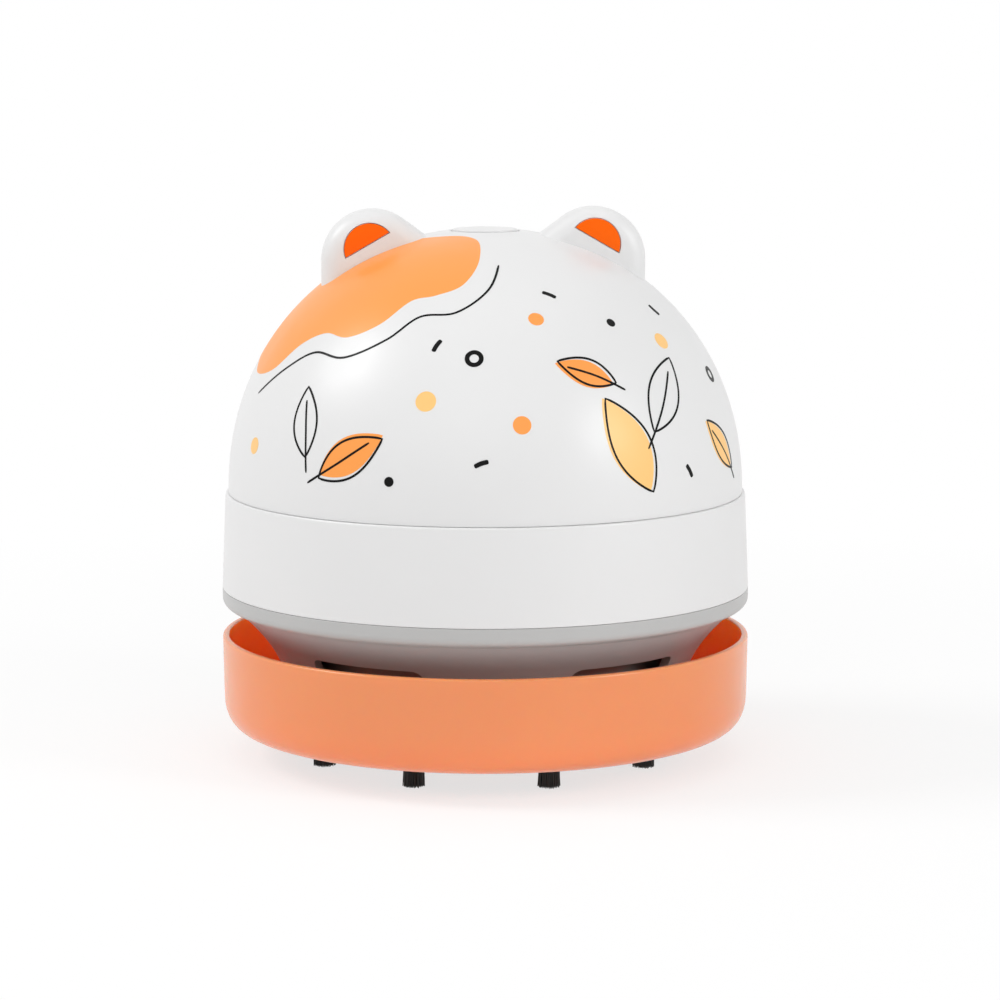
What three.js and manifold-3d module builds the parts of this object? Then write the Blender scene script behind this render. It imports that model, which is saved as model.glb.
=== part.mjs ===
// Desktop mini vacuum cleaner: a domed housing over an open dust tray that stands on brush tufts.
// Millimetres and degrees, +Z up, the front faces -Y, and the origin is under the middle of the tufts.
// Air enters the hole under the tray, passes the filter and the fan, and leaves by the neck's windows.
// Directions are counted from the front, towards +X.

import * as THREE from 'three';
import { mergeVertices } from 'three/addons/utils/BufferGeometryUtils.js';
import Module from 'manifold-3d';

// Clearances and counts used all over
const clearance = 0.3;            // between pieces that touch
const runningGap = 0.4;           // round pieces that turn or slide
const overrun = 1;                // how far a cutting shape passes the face that it cuts
const weld = 0.4;                 // how deep a joined feature runs into the piece that carries it
const mergeTolerance = 0.0001;
const roundSides = 36;            // facets round the large rings
const smallSides = 12;            // facets round posts and small holes
const screwSides = 10;
const cornerSteps = 3;            // facets in a turned corner
const curveFacets = 2;            // facets in each eighth of a circle of an outline

// Dust tray
const trayProud = 0.05;           // the rim reaches out past the band by this much
const trayDraft = 0.3;            // the wall leans in by this much at the bottom
const trayHeight = 16.5;
const trayWall = 1.6;
const trayFloor = 3;
const trayCorner = 3.4;           // outside radius between wall and underside

// Suction pipe, set into the middle of the tray from above
const inletRadius = 10;           // mouth of the pipe
const inletFlare = 4;             // height of the mouth's taper
const pipeBore = 6;               // radius above the mouth
const pipeWall = 1.5;
const pipeHeight = 8;             // above the tray's floor
const pipeFlangeReach = 2;
const pipeFlangeHeight = 1.2;
const pipeSides = 24;

// Brush strips and their tufts
const bristleLength = 4.9;        // from the tray's underside to the tips
const tuftInset = 15.75;          // from the tray's rim in to the circle of tufts
const tuftCount = 8;
const stripCount = 4;
const brushTurn = -4.6;           // the tufts stand turned this far from the face of the housing
const stripWidth = 5;
const stripThickness = 1.2;
const stripAngle = 66;
const tuftRadius = 1.85;
const strandsPerTuft = 38;
const strandRadius = 0.2;
const tuftSplayShare = 0.14;      // how much wider a tuft is at its tips
const goldenAngle = 137.50776;    // sets each strand in the widest free place of its tuft

// Twist lock between tray and housing
const lugCount = 3;
const lugFirst = 60;
const lugAngle = 14;
const lugReach = 2.2;
const lugHeight = 1.5;
const lockTurn = 18;              // from free to locked
const hookWall = 1.6;
const hookLip = 1.5;
const stopAngle = 2.4;            // wall that ends the turn
const stopGapAngle = 0.8;

// Lower housing: skirt, neck with windows, and flange
const neckInset = 8.4;            // from the flange's lower corner in to the neck
const neckWall = 1.8;
const skirtHeight = 4;            // whole ring below the windows
const flareStart = 1.1;           // above the sill of the windows
const flarePowerShare = 1.75;     // power by which the neck flares out
const flareSteps = 4;
const rimGap = 4.9;               // between the tray's rim and the flange
const flangeFootInset = 2.1;      // from the flange's edge in to its lower corner
const flangeHeight = 3.6;
const flangeRound = 1.6;          // height of the flange's rounded edge
const windowCount = 5;
const windowFirst = 36;
const windowWidth = 21.6;
const windowHead = 0.4;           // from the head of the windows up to the level of the rim
const windowCorner = 1.7;
const bossCount = 3;
const bossFirst = 30;
const bossInset = 6.5;            // from the flange's lower corner in to the bosses' middle
const bossRadius = 2.3;
const bossStepRadius = 3.4;
const bossRoot = 4;               // how far a boss reaches down the neck below the flange
const spigotHeight = 4;
const spigotWall = 1.5;

// Middle band and dome
const bandRadius = 45;            // at its lower edge
const bandTaper = 0.65;           // narrower at the top by this much
const bandHeight = 15.95;
const bandEdge = 0.35;            // chamfer round the ledge below the dome
const shellWall = 1.8;
const domeLedge = 0.5;            // the dome stands in from the band's upper edge
const domeHeight = 44.4;
const domePowerShare = 2.08;      // 2 is an ellipse, more is squarer
const domeSteps = 10;             // facets up the outside
const domeInnerSteps = 7;
const domeRoot = 2;               // how far the dome's spigot runs up inside

// Ears
const earRadius = 9.15;
const earSpread = 12.5;           // from the button's hole out to the ear's centre
const earDrop = 5.4;              // from the crown down to the ear's centre
const earFront = 5.5;             // from the side plane to the front face
const earBack = 3.5;
const earRound = 2;
const earTilt = 30;
const earSides = 28;
const earPegRadius = 2;
const earPegReach = 3.6;          // from the ear's centre into the dome
const inlayArc = 4.28;            // radius of the half-moon inlay
const inlayHeight = 3.5;
const inlayRise = 2.6;            // from the ear's centre up to the centre of the inlay's arc
const inlayShift = 0.74;          // towards the other ear
const inlayThickness = 0.5;
const inlayProud = 0.15;

// Button and switch
const buttonHole = 5.85;
const buttonRecess = 0.8;
const buttonDish = 0.6;
const buttonEdge = 0.4;
const buttonFlangeReach = 1.2;
const buttonFlangeHeight = 1;
const buttonFlangeGap = 0.9;      // between flange and dome at rest
const buttonStem = 2;
const buttonStemLength = 1.2;
const buttonTravel = 1.5;
const switchWidth = 8;
const switchHeight = 6;
const plungerWidth = 3;
const plungerHeight = 4;

// Filter
const exhaustSlot = 2;            // way for the air between the cup and the neck
const cupFootHeight = 1.2;        // the cup's foot fills that way at the bottom and centres the cup
const cupWall = 1.3;
const cupHeight = 17.6;
const gridDrop = 5;               // from the cup's rim down to the grid's underside
const gridThickness = 1.4;
const gridBar = 1.6;
const gridBars = 4;
const gridRing = 15;
const gridLedge = 1;              // ledge in the cup that carries the grid
const spongeThickness = 3;
const sealThickness = 1.8;
const sealWidth = 2.6;

// Fan
const fanPlateThickness = 1.6;
const fanInlet = 9.5;
const eyeletWall = 1.3;
const fanRim = 6;                 // from the plate's edge in to the fan's
const fanHeight = 6.8;
const fanBack = 1.2;
const fanHub = 4;
const fanBlades = 9;
const fanBladeWidth = 1.1;
const fanBladeRoot = 10;
const fanSweep = -38;
const fanBladeSteps = 4;
const fanGap = 0.8;
const shaftRadius = 1;
const shaftInMotor = 4;

// Motor and its frame
const frameThickness = 2;
const frameGap = 0.55;            // between the frame and the lower housing's spigot
const motorRadius = 12;
const motorHeadroom = 5.55;       // from the motor's cap up to the circuit board
const motorNose = 4;              // radius of the bearing boss
const motorCapHeight = 3;
const sleeveWall = 1.6;
const sleeveHeight = 12;
const motorScrewSpread = 8;

// Screws
const screwShank = 1;
const screwHead = 2;
const screwHeadHeight = 1.3;
const screwLength = 6;            // below the head
const screwSlot = 0.5;

// Battery cell and its cradle
const cellRadius = 7;
const cellLength = 49;
const cellNub = 2.5;
const cellNubHeight = 1;
const cellBack = 21.5;            // from the middle to the cell's centre line
const cellRise = 1.5;             // above the frame
const cradleWidth = 4;
const cradleSpread = 12;
const cradleWall = 1.6;

// Circuit board
const boardInset = 19.05;         // from the inside of the dome's foot in to the board's end
const boardDepth = 20;
const boardThickness = 1.6;
const boardPost = 2.4;
const boardPostInset = 4;         // from the board's end in to its post

// Charging board, port and lamp at the back
const chargeBoardWidth = 26;
const chargeBoardDepth = 11;
const chargeBoardThickness = 1.2;
const chargeBoardInset = 0.6;     // inside the frame's edge
const portWidth = 9;
const portHeight = 3.2;
const portDepth = 7.4;
const portWall = 0.6;
const portFloor = 1.2;
const portInset = 0.4;            // how far the mouth lies inside the band's face
const portTongue = 0.8;
const lampRadius = 1.2;
const lampLength = 3.4;
const lampSide = 10;              // from the port's middle
const lampDrop = 1.8;             // from the board down to the lamp's centre
const notchWidth = 9;             // gap in the frame for the charging leads
const notchDepth = 7;

// Leads
const leadRadius = 0.6;
const leadSides = 8;
const leadSteps = 10;
const leadTail = 1.2;             // straight length at each end
const motorLeadSpread = 5;
const motorLeadStep = 2.5;
const cellLeadReach = 1.8;
const cellLeadTopSpread = 21;
const cellLeadTopBack = 8;
const chargeLeadSpread = 2;
const chargeLeadInset = 4.6;      // from the frame's edge in to the charging leads
const chargeLeadTopBack = 8.6;

// Heights that follow from the sizes above, from the floor up
const trayBottom = bristleLength;
const trayRim = trayBottom + trayHeight;
const floorTop = trayBottom + trayFloor;
const skirtBottom = floorTop + clearance;
const windowSill = skirtBottom + skirtHeight;
const windowTop = trayRim - windowHead;
const neckFlareBottom = windowSill + flareStart;
const flangeBottom = trayRim + rimGap;
const bandBottom = flangeBottom + flangeHeight;
const flangeTop = bandBottom - clearance;
const bandTop = bandBottom + bandHeight;
const domeBottom = bandTop + clearance;
const crown = domeBottom + domeHeight;
const cupBottom = floorTop + clearance;
const cupTop = cupBottom + cupHeight;
const gridBottom = cupTop - gridDrop;
const gridTop = gridBottom + gridThickness;
const sealBottom = cupTop + clearance;
const fanPlateBottom = sealBottom + sealThickness + clearance;
const fanPlateTop = fanPlateBottom + fanPlateThickness;
const fanBottom = fanPlateTop + fanGap;
const fanTop = fanBottom + fanHeight;
const frameBottom = fanTop + clearance + screwHeadHeight + fanGap;
const frameTop = frameBottom + frameThickness;
const motorBottom = frameTop + clearance;
const cellMiddle = frameTop + cellRise + cellRadius;
const buttonTop = crown - buttonRecess;
const buttonFlangeTop = crown - shellWall - buttonFlangeGap;
const buttonFlangeBottom = buttonFlangeTop - buttonFlangeHeight;
const buttonBottom = buttonFlangeBottom - buttonStemLength;
const plungerTop = buttonBottom - clearance;
const plungerBottom = plungerTop - plungerHeight;
const switchTop = plungerTop - buttonTravel;
const boardTop = switchTop - switchHeight - clearance;
const boardBottom = boardTop - boardThickness;
const motorCapTop = boardBottom - motorHeadroom;
const motorTop = motorCapTop - motorCapHeight - clearance;
const chargeBoardTop = frameBottom - clearance;
const chargeBoardBottom = chargeBoardTop - chargeBoardThickness;
const portTop = chargeBoardBottom - clearance;
const portMiddle = portTop - portHeight / 2;
const lampMiddle = chargeBoardBottom - lampDrop;

// Radii that follow
const flangeRadius = bandRadius;
const flangeFoot = flangeRadius - flangeFootInset;
const neckRadius = flangeFoot - neckInset;
const bossRing = flangeFoot - bossInset;
const bandTopRadius = bandRadius - bandTaper;
const domeRadius = bandTopRadius - domeLedge;
const trayRadius = bandRadius + trayProud;
const tuftRing = trayRadius - tuftInset;
const fanPlateRadius = bossRing - bossStepRadius;
const fanRadius = fanPlateRadius - fanRim;
const earOffset = buttonHole + earSpread;
const pipeHole = inletRadius + pipeWall + clearance;
const skirtBore = neckRadius - neckWall;
const cupFoot = skirtBore - runningGap;
const cupRadius = skirtBore - exhaustSlot;
const cupBore = cupRadius - cupWall;
const spigotOuter = bandTopRadius - shellWall - clearance;
const spigotInner = spigotOuter - spigotWall;
const frameRadius = spigotInner - frameGap;
const chargeLeadBack = frameRadius - chargeLeadInset;
const boardWidth = 2 * (domeRadius - shellWall - boardInset);
const boardPostSpread = boardWidth / 2 - boardPostInset;
const stripInner = tuftRing - stripWidth / 2;
const stripOuter = tuftRing + stripWidth / 2;
const lugTip = neckRadius + lugReach;
const hookInner = lugTip + runningGap;
const hookOuter = hookInner + hookWall;
const hookLipBottom = skirtBottom + lugHeight + runningGap;
const hookTop = hookLipBottom + hookLip;
const screwHole = screwShank + clearance;
const degree = Math.PI / 180;

const wasm = await Module();
wasm.setup();

// Solids and meshes

// A closed three.js geometry as a solid: equal corners are merged and empty triangles dropped.
function solid(geometry) {
  const bare = geometry.clone();
  bare.deleteAttribute('normal');
  bare.deleteAttribute('uv');
  const merged = mergeVertices(bare, mergeTolerance);
  const corners = merged.index.array;
  const places = Float32Array.from(merged.attributes.position.array);
  const triangles = [];
  for (let i = 0; i < corners.length; i += 3) {
    const [a, b, c] = corners.slice(i, i + 3);
    if (a !== b && b !== c && c !== a) triangles.push(a, b, c);
  }
  if (volume(places, triangles) < 0) triangles.reverse();
  const triVerts = Uint32Array.from(triangles);
  return new wasm.Manifold(new wasm.Mesh({ numProp: 3, vertProperties: places, triVerts }));
}

function volume(places, triangles) {
  const [a, b, c] = [new THREE.Vector3(), new THREE.Vector3(), new THREE.Vector3()];
  let six = 0;
  for (let i = 0; i < triangles.length; i += 3) {
    a.fromArray(places, 3 * triangles[i]);
    b.fromArray(places, 3 * triangles[i + 1]);
    c.fromArray(places, 3 * triangles[i + 2]);
    six += a.dot(b.cross(c));
  }
  return six / 6;
}

function joined(first, ...others) {
  return others.reduce((sum, other) => sum.add(other), first);
}

function cut(first, ...others) {
  return others.reduce((rest, other) => rest.subtract(other), first);
}

// A named mesh of a solid, or of a geometry that is closed already.
function piece(name, shape, material) {
  const from = shape.isBufferGeometry ? solid(shape) : shape;
  const made = from.getMesh();
  const geometry = new THREE.BufferGeometry();
  geometry.setAttribute('position', new THREE.BufferAttribute(made.vertProperties, made.numProp));
  geometry.setIndex(new THREE.BufferAttribute(made.triVerts, 1));
  geometry.computeVertexNormals();
  const mesh = new THREE.Mesh(geometry, material);
  mesh.name = name;
  return mesh;
}

// Shapes

// A profile of [radius, height] points turned round the Z axis. One that misses the axis is closed.
function revolved(profile, sides = roundSides) {
  const offAxis = profile[0][0] > 0;
  const loop = offAxis ? [...profile, profile[0]] : profile;
  const points = loop.map(([radius, height]) => new THREE.Vector2(radius, height));
  return new THREE.LatheGeometry(points, sides).rotateX(90 * degree);
}

function ring(inner, outer, low, high, sides = roundSides) {
  return revolved([[inner, low], [outer, low], [outer, high], [inner, high]], sides);
}

function rod(radius, low, high, sides = smallSides) {
  return revolved([[0, low], [radius, low], [radius, high], [0, high]], sides);
}

function block(width, depth, low, high) {
  return new THREE.BoxGeometry(width, depth, high - low).translate(0, 0, (low + high) / 2);
}

// An outline in X and Y raised from one height to another.
function raised(outline, low, high, curveSegments = curveFacets) {
  const settings = { depth: high - low, bevelEnabled: false, curveSegments };
  return new THREE.ExtrudeGeometry(outline, settings).translate(0, 0, low);
}

// An outline in X and Z carried forward, along -Y, from one distance to another.
function forward(outline, near, far, curveSegments = curveFacets) {
  return raised(outline, near, far, curveSegments).rotateX(90 * degree);
}

// A piece of a ring between two directions.
function sector(inner, outer, low, high, fromDirection, toDirection) {
  const from = (fromDirection - 90) * degree;
  const to = (toDirection - 90) * degree;
  const outline = new THREE.Shape();
  outline.absarc(0, 0, outer, from, to, false);
  outline.absarc(0, 0, inner, to, from, true);
  const facets = Math.ceil((toDirection - fromDirection) * roundSides / 720);
  return raised(outline, low, high, facets);
}

function roundedOutline(width, low, high, corner) {
  const [left, right] = [-width / 2, width / 2];
  const outline = new THREE.Shape();
  outline.moveTo(left + corner, low);
  outline.lineTo(right - corner, low);
  outline.absarc(right - corner, low + corner, corner, -90 * degree, 0, false);
  outline.lineTo(right, high - corner);
  outline.absarc(right - corner, high - corner, corner, 0, 90 * degree, false);
  outline.lineTo(left + corner, high);
  outline.absarc(left + corner, high - corner, corner, 90 * degree, 180 * degree, false);
  outline.lineTo(left, low + corner);
  outline.absarc(left + corner, low + corner, corner, 180 * degree, 270 * degree, false);
  return outline;
}

// Points of an arc in a profile, ends included.
function arc(centreRadius, centreHeight, radius, from, to, steps = cornerSteps) {
  return ellipseArc(centreRadius, centreHeight, radius, radius, from, to, steps);
}

function ellipseArc(centreRadius, centreHeight, across, along, from, to, steps = cornerSteps) {
  const points = [];
  for (let i = 0; i <= steps; i += 1) {
    const angle = (from + (to - from) * i / steps) * degree;
    points.push([centreRadius + across * Math.cos(angle), centreHeight + along * Math.sin(angle)]);
  }
  return points;
}

// Geometry or solid-to-be turned to a direction from the front.
function facing(geometry, direction) {
  return geometry.clone().rotateZ(direction * degree);
}

function around(count, first, make) {
  const made = [];
  for (let i = 0; i < count; i += 1) {
    made.push(make(first + 360 * i / count, i));
  }
  return made;
}

function placeOnRing(radius, direction) {
  return [radius * Math.sin(direction * degree), -radius * Math.cos(direction * degree)];
}

// Materials

function plastic(color, roughness) {
  return new THREE.MeshStandardMaterial({ color, roughness, metalness: 0 });
}

function metal(color, roughness) {
  return new THREE.MeshStandardMaterial({ color, roughness, metalness: 1 });
}

const whiteGloss = plastic(0xf2f2f2, 0.22);
const greyGloss = plastic(0xc4c4c4, 0.3);
const orangeGloss = plastic(0xf0945f, 0.3);
const vividOrange = plastic(0xff6600, 0.35);
const blackBristle = plastic(0x161616, 0.7);
const filterGrey = plastic(0x9a9a98, 0.5);
const darkSponge = plastic(0x3a3c3e, 0.95);
const blackRubber = plastic(0x1c1c1c, 0.8);
const innerWhite = plastic(0xe2e2de, 0.45);
const fanBlack = plastic(0x2b2d30, 0.4);
const boardGreen = plastic(0x1f6b3a, 0.5);
const cellBlue = plastic(0x2c6fae, 0.35);
const steel = metal(0xc8c8c8, 0.35);
const lampLens = plastic(0xe8f0e8, 0.2);
const leadRed = plastic(0xb3201a, 0.5);
const leadBlack = plastic(0x18181a, 0.5);

// Dust tray: wall, floor with the hole for the pipe, pockets for the strips and the lock's hooks

function trayProfile() {
  const lowRadius = trayRadius - trayDraft;
  const innerCorner = trayCorner - trayWall;
  const innerLowRadius = lowRadius - trayWall;
  return [
    [pipeHole, trayBottom],
    ...arc(lowRadius - trayCorner, trayBottom + trayCorner, trayCorner, -90, 0),
    [trayRadius, trayRim],
    [trayRadius - trayWall, trayRim],
    ...arc(innerLowRadius - innerCorner, floorTop + innerCorner, innerCorner, 0, -90),
    [pipeHole, floorTop],
  ];
}

function stripPocket() {
  const half = stripAngle / 2 + clearance / tuftRing / degree;
  const top = trayBottom + stripThickness + clearance;
  const low = trayBottom - overrun;
  return sector(stripInner - clearance, stripOuter + clearance, low, top, -half, half);
}

// A wall with a lip over the lug, and a stop at its far end.
function lockHook() {
  const low = floorTop - weld;
  const half = lugAngle / 2;
  const inner = neckRadius + runningGap;
  const stopFrom = half + stopGapAngle;
  const stopTo = stopFrom + stopAngle;
  const wall = sector(hookInner, hookOuter, low, hookTop, -half, stopTo + stopGapAngle);
  const lip = sector(inner, hookInner + weld, hookLipBottom, hookTop, -half + stopGapAngle, stopTo);
  const stop = sector(inner, hookInner + weld, low, hookTop, stopFrom, stopTo);
  return [wall, lip, stop];
}

function dustTray() {
  const pockets = around(stripCount, brushTurn, (direction) => solid(facing(stripPocket(), direction)));
  const hooks = around(lugCount, lugFirst + lockTurn, (direction) => (
    joined(...lockHook().map((shape) => solid(facing(shape, direction))))
  ));
  return joined(cut(solid(revolved(trayProfile())), ...pockets), ...hooks);
}

// Suction pipe: a flared mouth through the tray's floor, held by a flange that lies on the floor
function suctionPipe() {
  const mouthOuter = inletRadius + pipeWall;
  const pipeOuter = pipeBore + pipeWall;
  const flangeLow = floorTop + clearance;
  const flangeHigh = flangeLow + pipeFlangeHeight;
  const top = floorTop + pipeHeight;
  return revolved([
    [inletRadius, trayBottom],
    [mouthOuter, trayBottom],
    [mouthOuter, flangeLow],
    [mouthOuter + pipeFlangeReach, flangeLow],
    [mouthOuter + pipeFlangeReach, flangeHigh],
    [pipeOuter, flangeHigh],
    [pipeOuter, top],
    [pipeBore, top],
    [pipeBore, trayBottom + inletFlare],
  ], pipeSides);
}

// One brush strip, centred on the front: a curved backing with its tufts of three-sided strands

function strand(x, y, root) {
  const places = [];
  for (const [height, widen] of [[root, 0], [0, tuftSplayShare]]) {
    for (const direction of [0, 120, 240]) {
      places.push(x * (1 + widen) + strandRadius * Math.cos(direction * degree));
      places.push(y * (1 + widen) + strandRadius * Math.sin(direction * degree));
      places.push(height);
    }
  }
  const geometry = new THREE.BufferGeometry();
  geometry.setAttribute('position', new THREE.Float32BufferAttribute(places, 3));
  geometry.setIndex([0, 1, 2, 5, 4, 3, 0, 3, 1, 1, 3, 4, 1, 4, 2, 2, 4, 5, 2, 5, 0, 0, 5, 3]);
  return geometry;
}

function tuft() {
  const strands = [];
  for (let i = 0; i < strandsPerTuft; i += 1) {
    const radius = tuftRadius * Math.sqrt((i + 0.5) / strandsPerTuft);
    const angle = i * goldenAngle * degree;
    strands.push(strand(radius * Math.cos(angle), radius * Math.sin(angle), trayBottom + weld));
  }
  return strands;
}

function brushStrip() {
  const half = stripAngle / 2;
  const backing = sector(stripInner, stripOuter, trayBottom, trayBottom + stripThickness, -half, half);
  let strip = solid(backing);
  const spacing = 360 / tuftCount;
  const inStrip = tuftCount / stripCount;
  for (let i = 0; i < inStrip; i += 1) {
    const direction = (i - (inStrip - 1) / 2) * spacing;
    for (const single of tuft()) {
      single.translate(0, -tuftRing, 0);
      strip = strip.add(solid(facing(single, direction)));
    }
  }
  return strip;
}

// Lower housing

function neckAt(share) {
  const height = neckFlareBottom + (flangeBottom - neckFlareBottom) * share;
  const radius = neckRadius + (flangeFoot - neckRadius) * share ** flarePowerShare;
  return [radius, height];
}

function neckFlare(inset) {
  const points = [];
  for (let i = 0; i <= flareSteps; i += 1) {
    const [radius, height] = neckAt(i / flareSteps);
    points.push([radius - inset, height]);
  }
  return points;
}

function housingEnvelope() {
  const roundMiddle = flangeBottom + flangeRound;
  return [
    [0, skirtBottom],
    [neckRadius, skirtBottom],
    ...neckFlare(0),
    ...ellipseArc(flangeFoot, roundMiddle, flangeRadius - flangeFoot, flangeRound, -60, 0),
    [flangeRadius, flangeTop],
    [spigotOuter, flangeTop],
    [spigotOuter, flangeTop + spigotHeight],
    [0, flangeTop + spigotHeight],
  ];
}

function housingCavity() {
  const flare = neckFlare(neckWall).filter(([radius]) => radius < spigotInner);
  return [
    [0, skirtBottom - overrun],
    [skirtBore, skirtBottom - overrun],
    ...flare,
    [spigotInner, flangeBottom + flangeRound],
    [spigotInner, flangeTop + spigotHeight + overrun],
    [0, flangeTop + spigotHeight + overrun],
  ];
}

function exhaustWindow() {
  const outline = roundedOutline(windowWidth, windowSill, windowTop, windowCorner);
  return forward(outline, skirtBore - neckWall, flangeFoot + overrun);
}

// A stepped post inside the flange, with a screw hole in its top.
function frameBoss(envelope, direction) {
  const stepTop = fanPlateBottom - clearance;
  const bossTop = frameBottom - clearance;
  const placed = (shape) => solid(facing(shape.translate(0, -bossRing, 0), direction));
  const root = placed(rod(bossStepRadius, flangeBottom - bossRoot, stepTop));
  const post = placed(rod(bossRadius, stepTop - weld, bossTop));
  const hole = placed(rod(screwHole, bossTop - screwLength, bossTop + overrun, screwSides));
  return cut(joined(root.intersect(envelope), post), hole);
}

function lowerHousing() {
  const envelope = solid(revolved(housingEnvelope()));
  const shell = cut(envelope, solid(revolved(housingCavity())));
  const window = exhaustWindow();
  const windows = around(windowCount, windowFirst, (direction) => solid(facing(window, direction)));
  const half = lugAngle / 2;
  const lug = sector(neckRadius - weld, lugTip, skirtBottom, skirtBottom + lugHeight, -half, half);
  const lugs = around(lugCount, lugFirst, (direction) => solid(facing(lug, direction)));
  const bosses = around(bossCount, bossFirst, (direction) => frameBoss(envelope, direction));
  return joined(cut(shell, ...windows), ...lugs, ...bosses);
}

// Middle band, with the mouths for port and lamp at the back

function bandRadiusAt(height) {
  const share = (height - bandBottom) / bandHeight;
  return bandRadius + (bandTopRadius - bandRadius) * share;
}

function middleBand() {
  const bore = bandTopRadius - shellWall;
  const shell = solid(revolved([
    [bore, bandBottom],
    [bandRadius, bandBottom],
    [bandRadiusAt(bandTop - bandEdge), bandTop - bandEdge],
    [bandTopRadius - bandEdge, bandTop],
    [bore, bandTop],
  ]));
  const low = portMiddle - portHeight / 2 - clearance;
  const high = portMiddle + portHeight / 2 + clearance;
  const mouth = roundedOutline(portWidth + 2 * clearance, low, high, portHeight / 2);
  const reach = bandRadius + overrun;
  const portMouth = facing(forward(mouth, bore - overrun, reach), 180);
  const lampMouth = rod(lampRadius + clearance, bore - shellWall, reach).rotateX(-90 * degree);
  lampMouth.translate(lampSide, 0, lampMiddle);
  return cut(shell, solid(portMouth), solid(lampMouth));
}

// Dome: a superellipse of revolution with a hole for the button and two for the ears' pegs

function domeOutline(radius, height, hole, steps) {
  const points = [];
  const last = Math.acos((hole / radius) ** (domePowerShare / 2));
  for (let i = 0; i <= steps; i += 1) {
    const angle = last * i / steps;
    const across = radius * Math.cos(angle) ** (2 / domePowerShare);
    const up = height * Math.sin(angle) ** (2 / domePowerShare);
    points.push([across, domeBottom + up]);
  }
  return points;
}

function domeEnvelope(grown) {
  const outline = domeOutline(domeRadius + grown, domeHeight + grown, 0, domeSteps + 1);
  outline[outline.length - 1][0] = 0;
  return solid(revolved([[0, domeBottom], ...outline]));
}

function domeCover() {
  const outside = domeOutline(domeRadius, domeHeight, buttonHole, domeSteps);
  const inside = domeOutline(domeRadius - shellWall, domeHeight - shellWall, buttonHole, domeInnerSteps);
  const kept = inside.filter(([, height]) => height > domeBottom + domeRoot).reverse();
  const shell = solid(revolved([
    [spigotInner, domeBottom - spigotHeight],
    [spigotOuter, domeBottom - spigotHeight],
    [spigotOuter, domeBottom],
    ...outside,
    ...kept,
    [spigotInner, domeBottom + domeRoot],
  ]));
  const hole = rod(earPegRadius + clearance, -earPegReach - overrun, earRadius);
  return cut(shell, solid(earPlaced(hole, 1)), solid(earPlaced(hole, -1)));
}

// Ears: a thick rounded disc cut by the dome, a peg into it, and a half-moon inlay in the front

// From the ear's own place, with its centre at the origin and upright, to its place on the dome.
function earPlaced(geometry, side) {
  const placed = geometry.clone().rotateY(side * earTilt * degree);
  return placed.translate(side * earOffset, 0, crown - earDrop);
}

function earDisc() {
  const flat = earRadius - earRound;
  const profile = [
    [0, -earBack],
    ...arc(flat, -earBack + earRound, earRound, -90, 0),
    ...arc(flat, earFront - earRound, earRound, 0, 90),
    [0, earFront],
  ];
  return revolved(profile, earSides).rotateX(90 * degree);
}

function inlayOutline(side, grown) {
  const radius = inlayArc + grown;
  const chord = inlayArc - inlayHeight - grown;
  const from = Math.asin(chord / radius);
  const outline = new THREE.Shape();
  outline.absarc(-side * inlayShift, inlayRise, radius, from, Math.PI - from, false);
  return outline;
}

function ear(side) {
  const floor = earFront + inlayProud - inlayThickness - clearance;
  const pocket = forward(inlayOutline(side, clearance), floor, earFront + overrun, earSides / 4);
  const peg = rod(earPegRadius, -earPegReach, earRadius / 2);
  const disc = cut(solid(earPlaced(earDisc(), side)), domeEnvelope(clearance));
  return cut(joined(disc, solid(earPlaced(peg, side))), solid(earPlaced(pocket, side)));
}

function earInlay(side) {
  const face = earFront + inlayProud;
  return earPlaced(forward(inlayOutline(side, 0), face - inlayThickness, face, earSides / 4), side);
}

// Button, switch and circuit board

function powerButton() {
  const radius = buttonHole - clearance;
  return revolved([
    [0, buttonBottom],
    [buttonStem, buttonBottom],
    [buttonStem, buttonFlangeBottom],
    [buttonHole + buttonFlangeReach, buttonFlangeBottom],
    [buttonHole + buttonFlangeReach, buttonFlangeTop],
    [radius, buttonFlangeTop],
    [radius, buttonTop - buttonEdge],
    [radius - buttonEdge, buttonTop],
    [radius / 2, buttonTop - buttonDish * 3 / 4],
    [0, buttonTop - buttonDish],
  ], earSides);
}

function switchBody() {
  const body = block(switchWidth, switchWidth, boardTop + clearance, switchTop);
  const well = plungerWidth + 2 * clearance;
  const wellBottom = plungerBottom - buttonTravel - clearance;
  return cut(solid(body), solid(block(well, well, wellBottom, switchTop + overrun)));
}

function circuitBoard() {
  const outline = new THREE.Shape();
  const corner = boardThickness;
  outline.copy(roundedOutline(boardWidth, -boardDepth / 2, boardDepth / 2, corner));
  const plate = solid(raised(outline, boardBottom, boardTop));
  const hole = rod(screwHole, boardBottom - overrun, boardTop + overrun, screwSides);
  const right = hole.clone().translate(boardPostSpread, 0, 0);
  const left = hole.clone().translate(-boardPostSpread, 0, 0);
  return cut(plate, solid(right), solid(left));
}

// Filter: cup with a ledge near its top, grid on the ledge, sponge on the grid, rubber seal on the rim

function filterCup() {
  const ledgeTop = gridBottom - clearance;
  return revolved([
    [cupBore, cupBottom],
    [cupFoot, cupBottom],
    [cupFoot, cupBottom + cupFootHeight],
    [cupRadius, cupBottom + cupFootHeight],
    [cupRadius, cupTop],
    [cupBore, cupTop],
    [cupBore, ledgeTop],
    [cupBore - gridLedge, ledgeTop],
    [cupBore, ledgeTop - 2 * gridLedge],
  ]);
}

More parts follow.
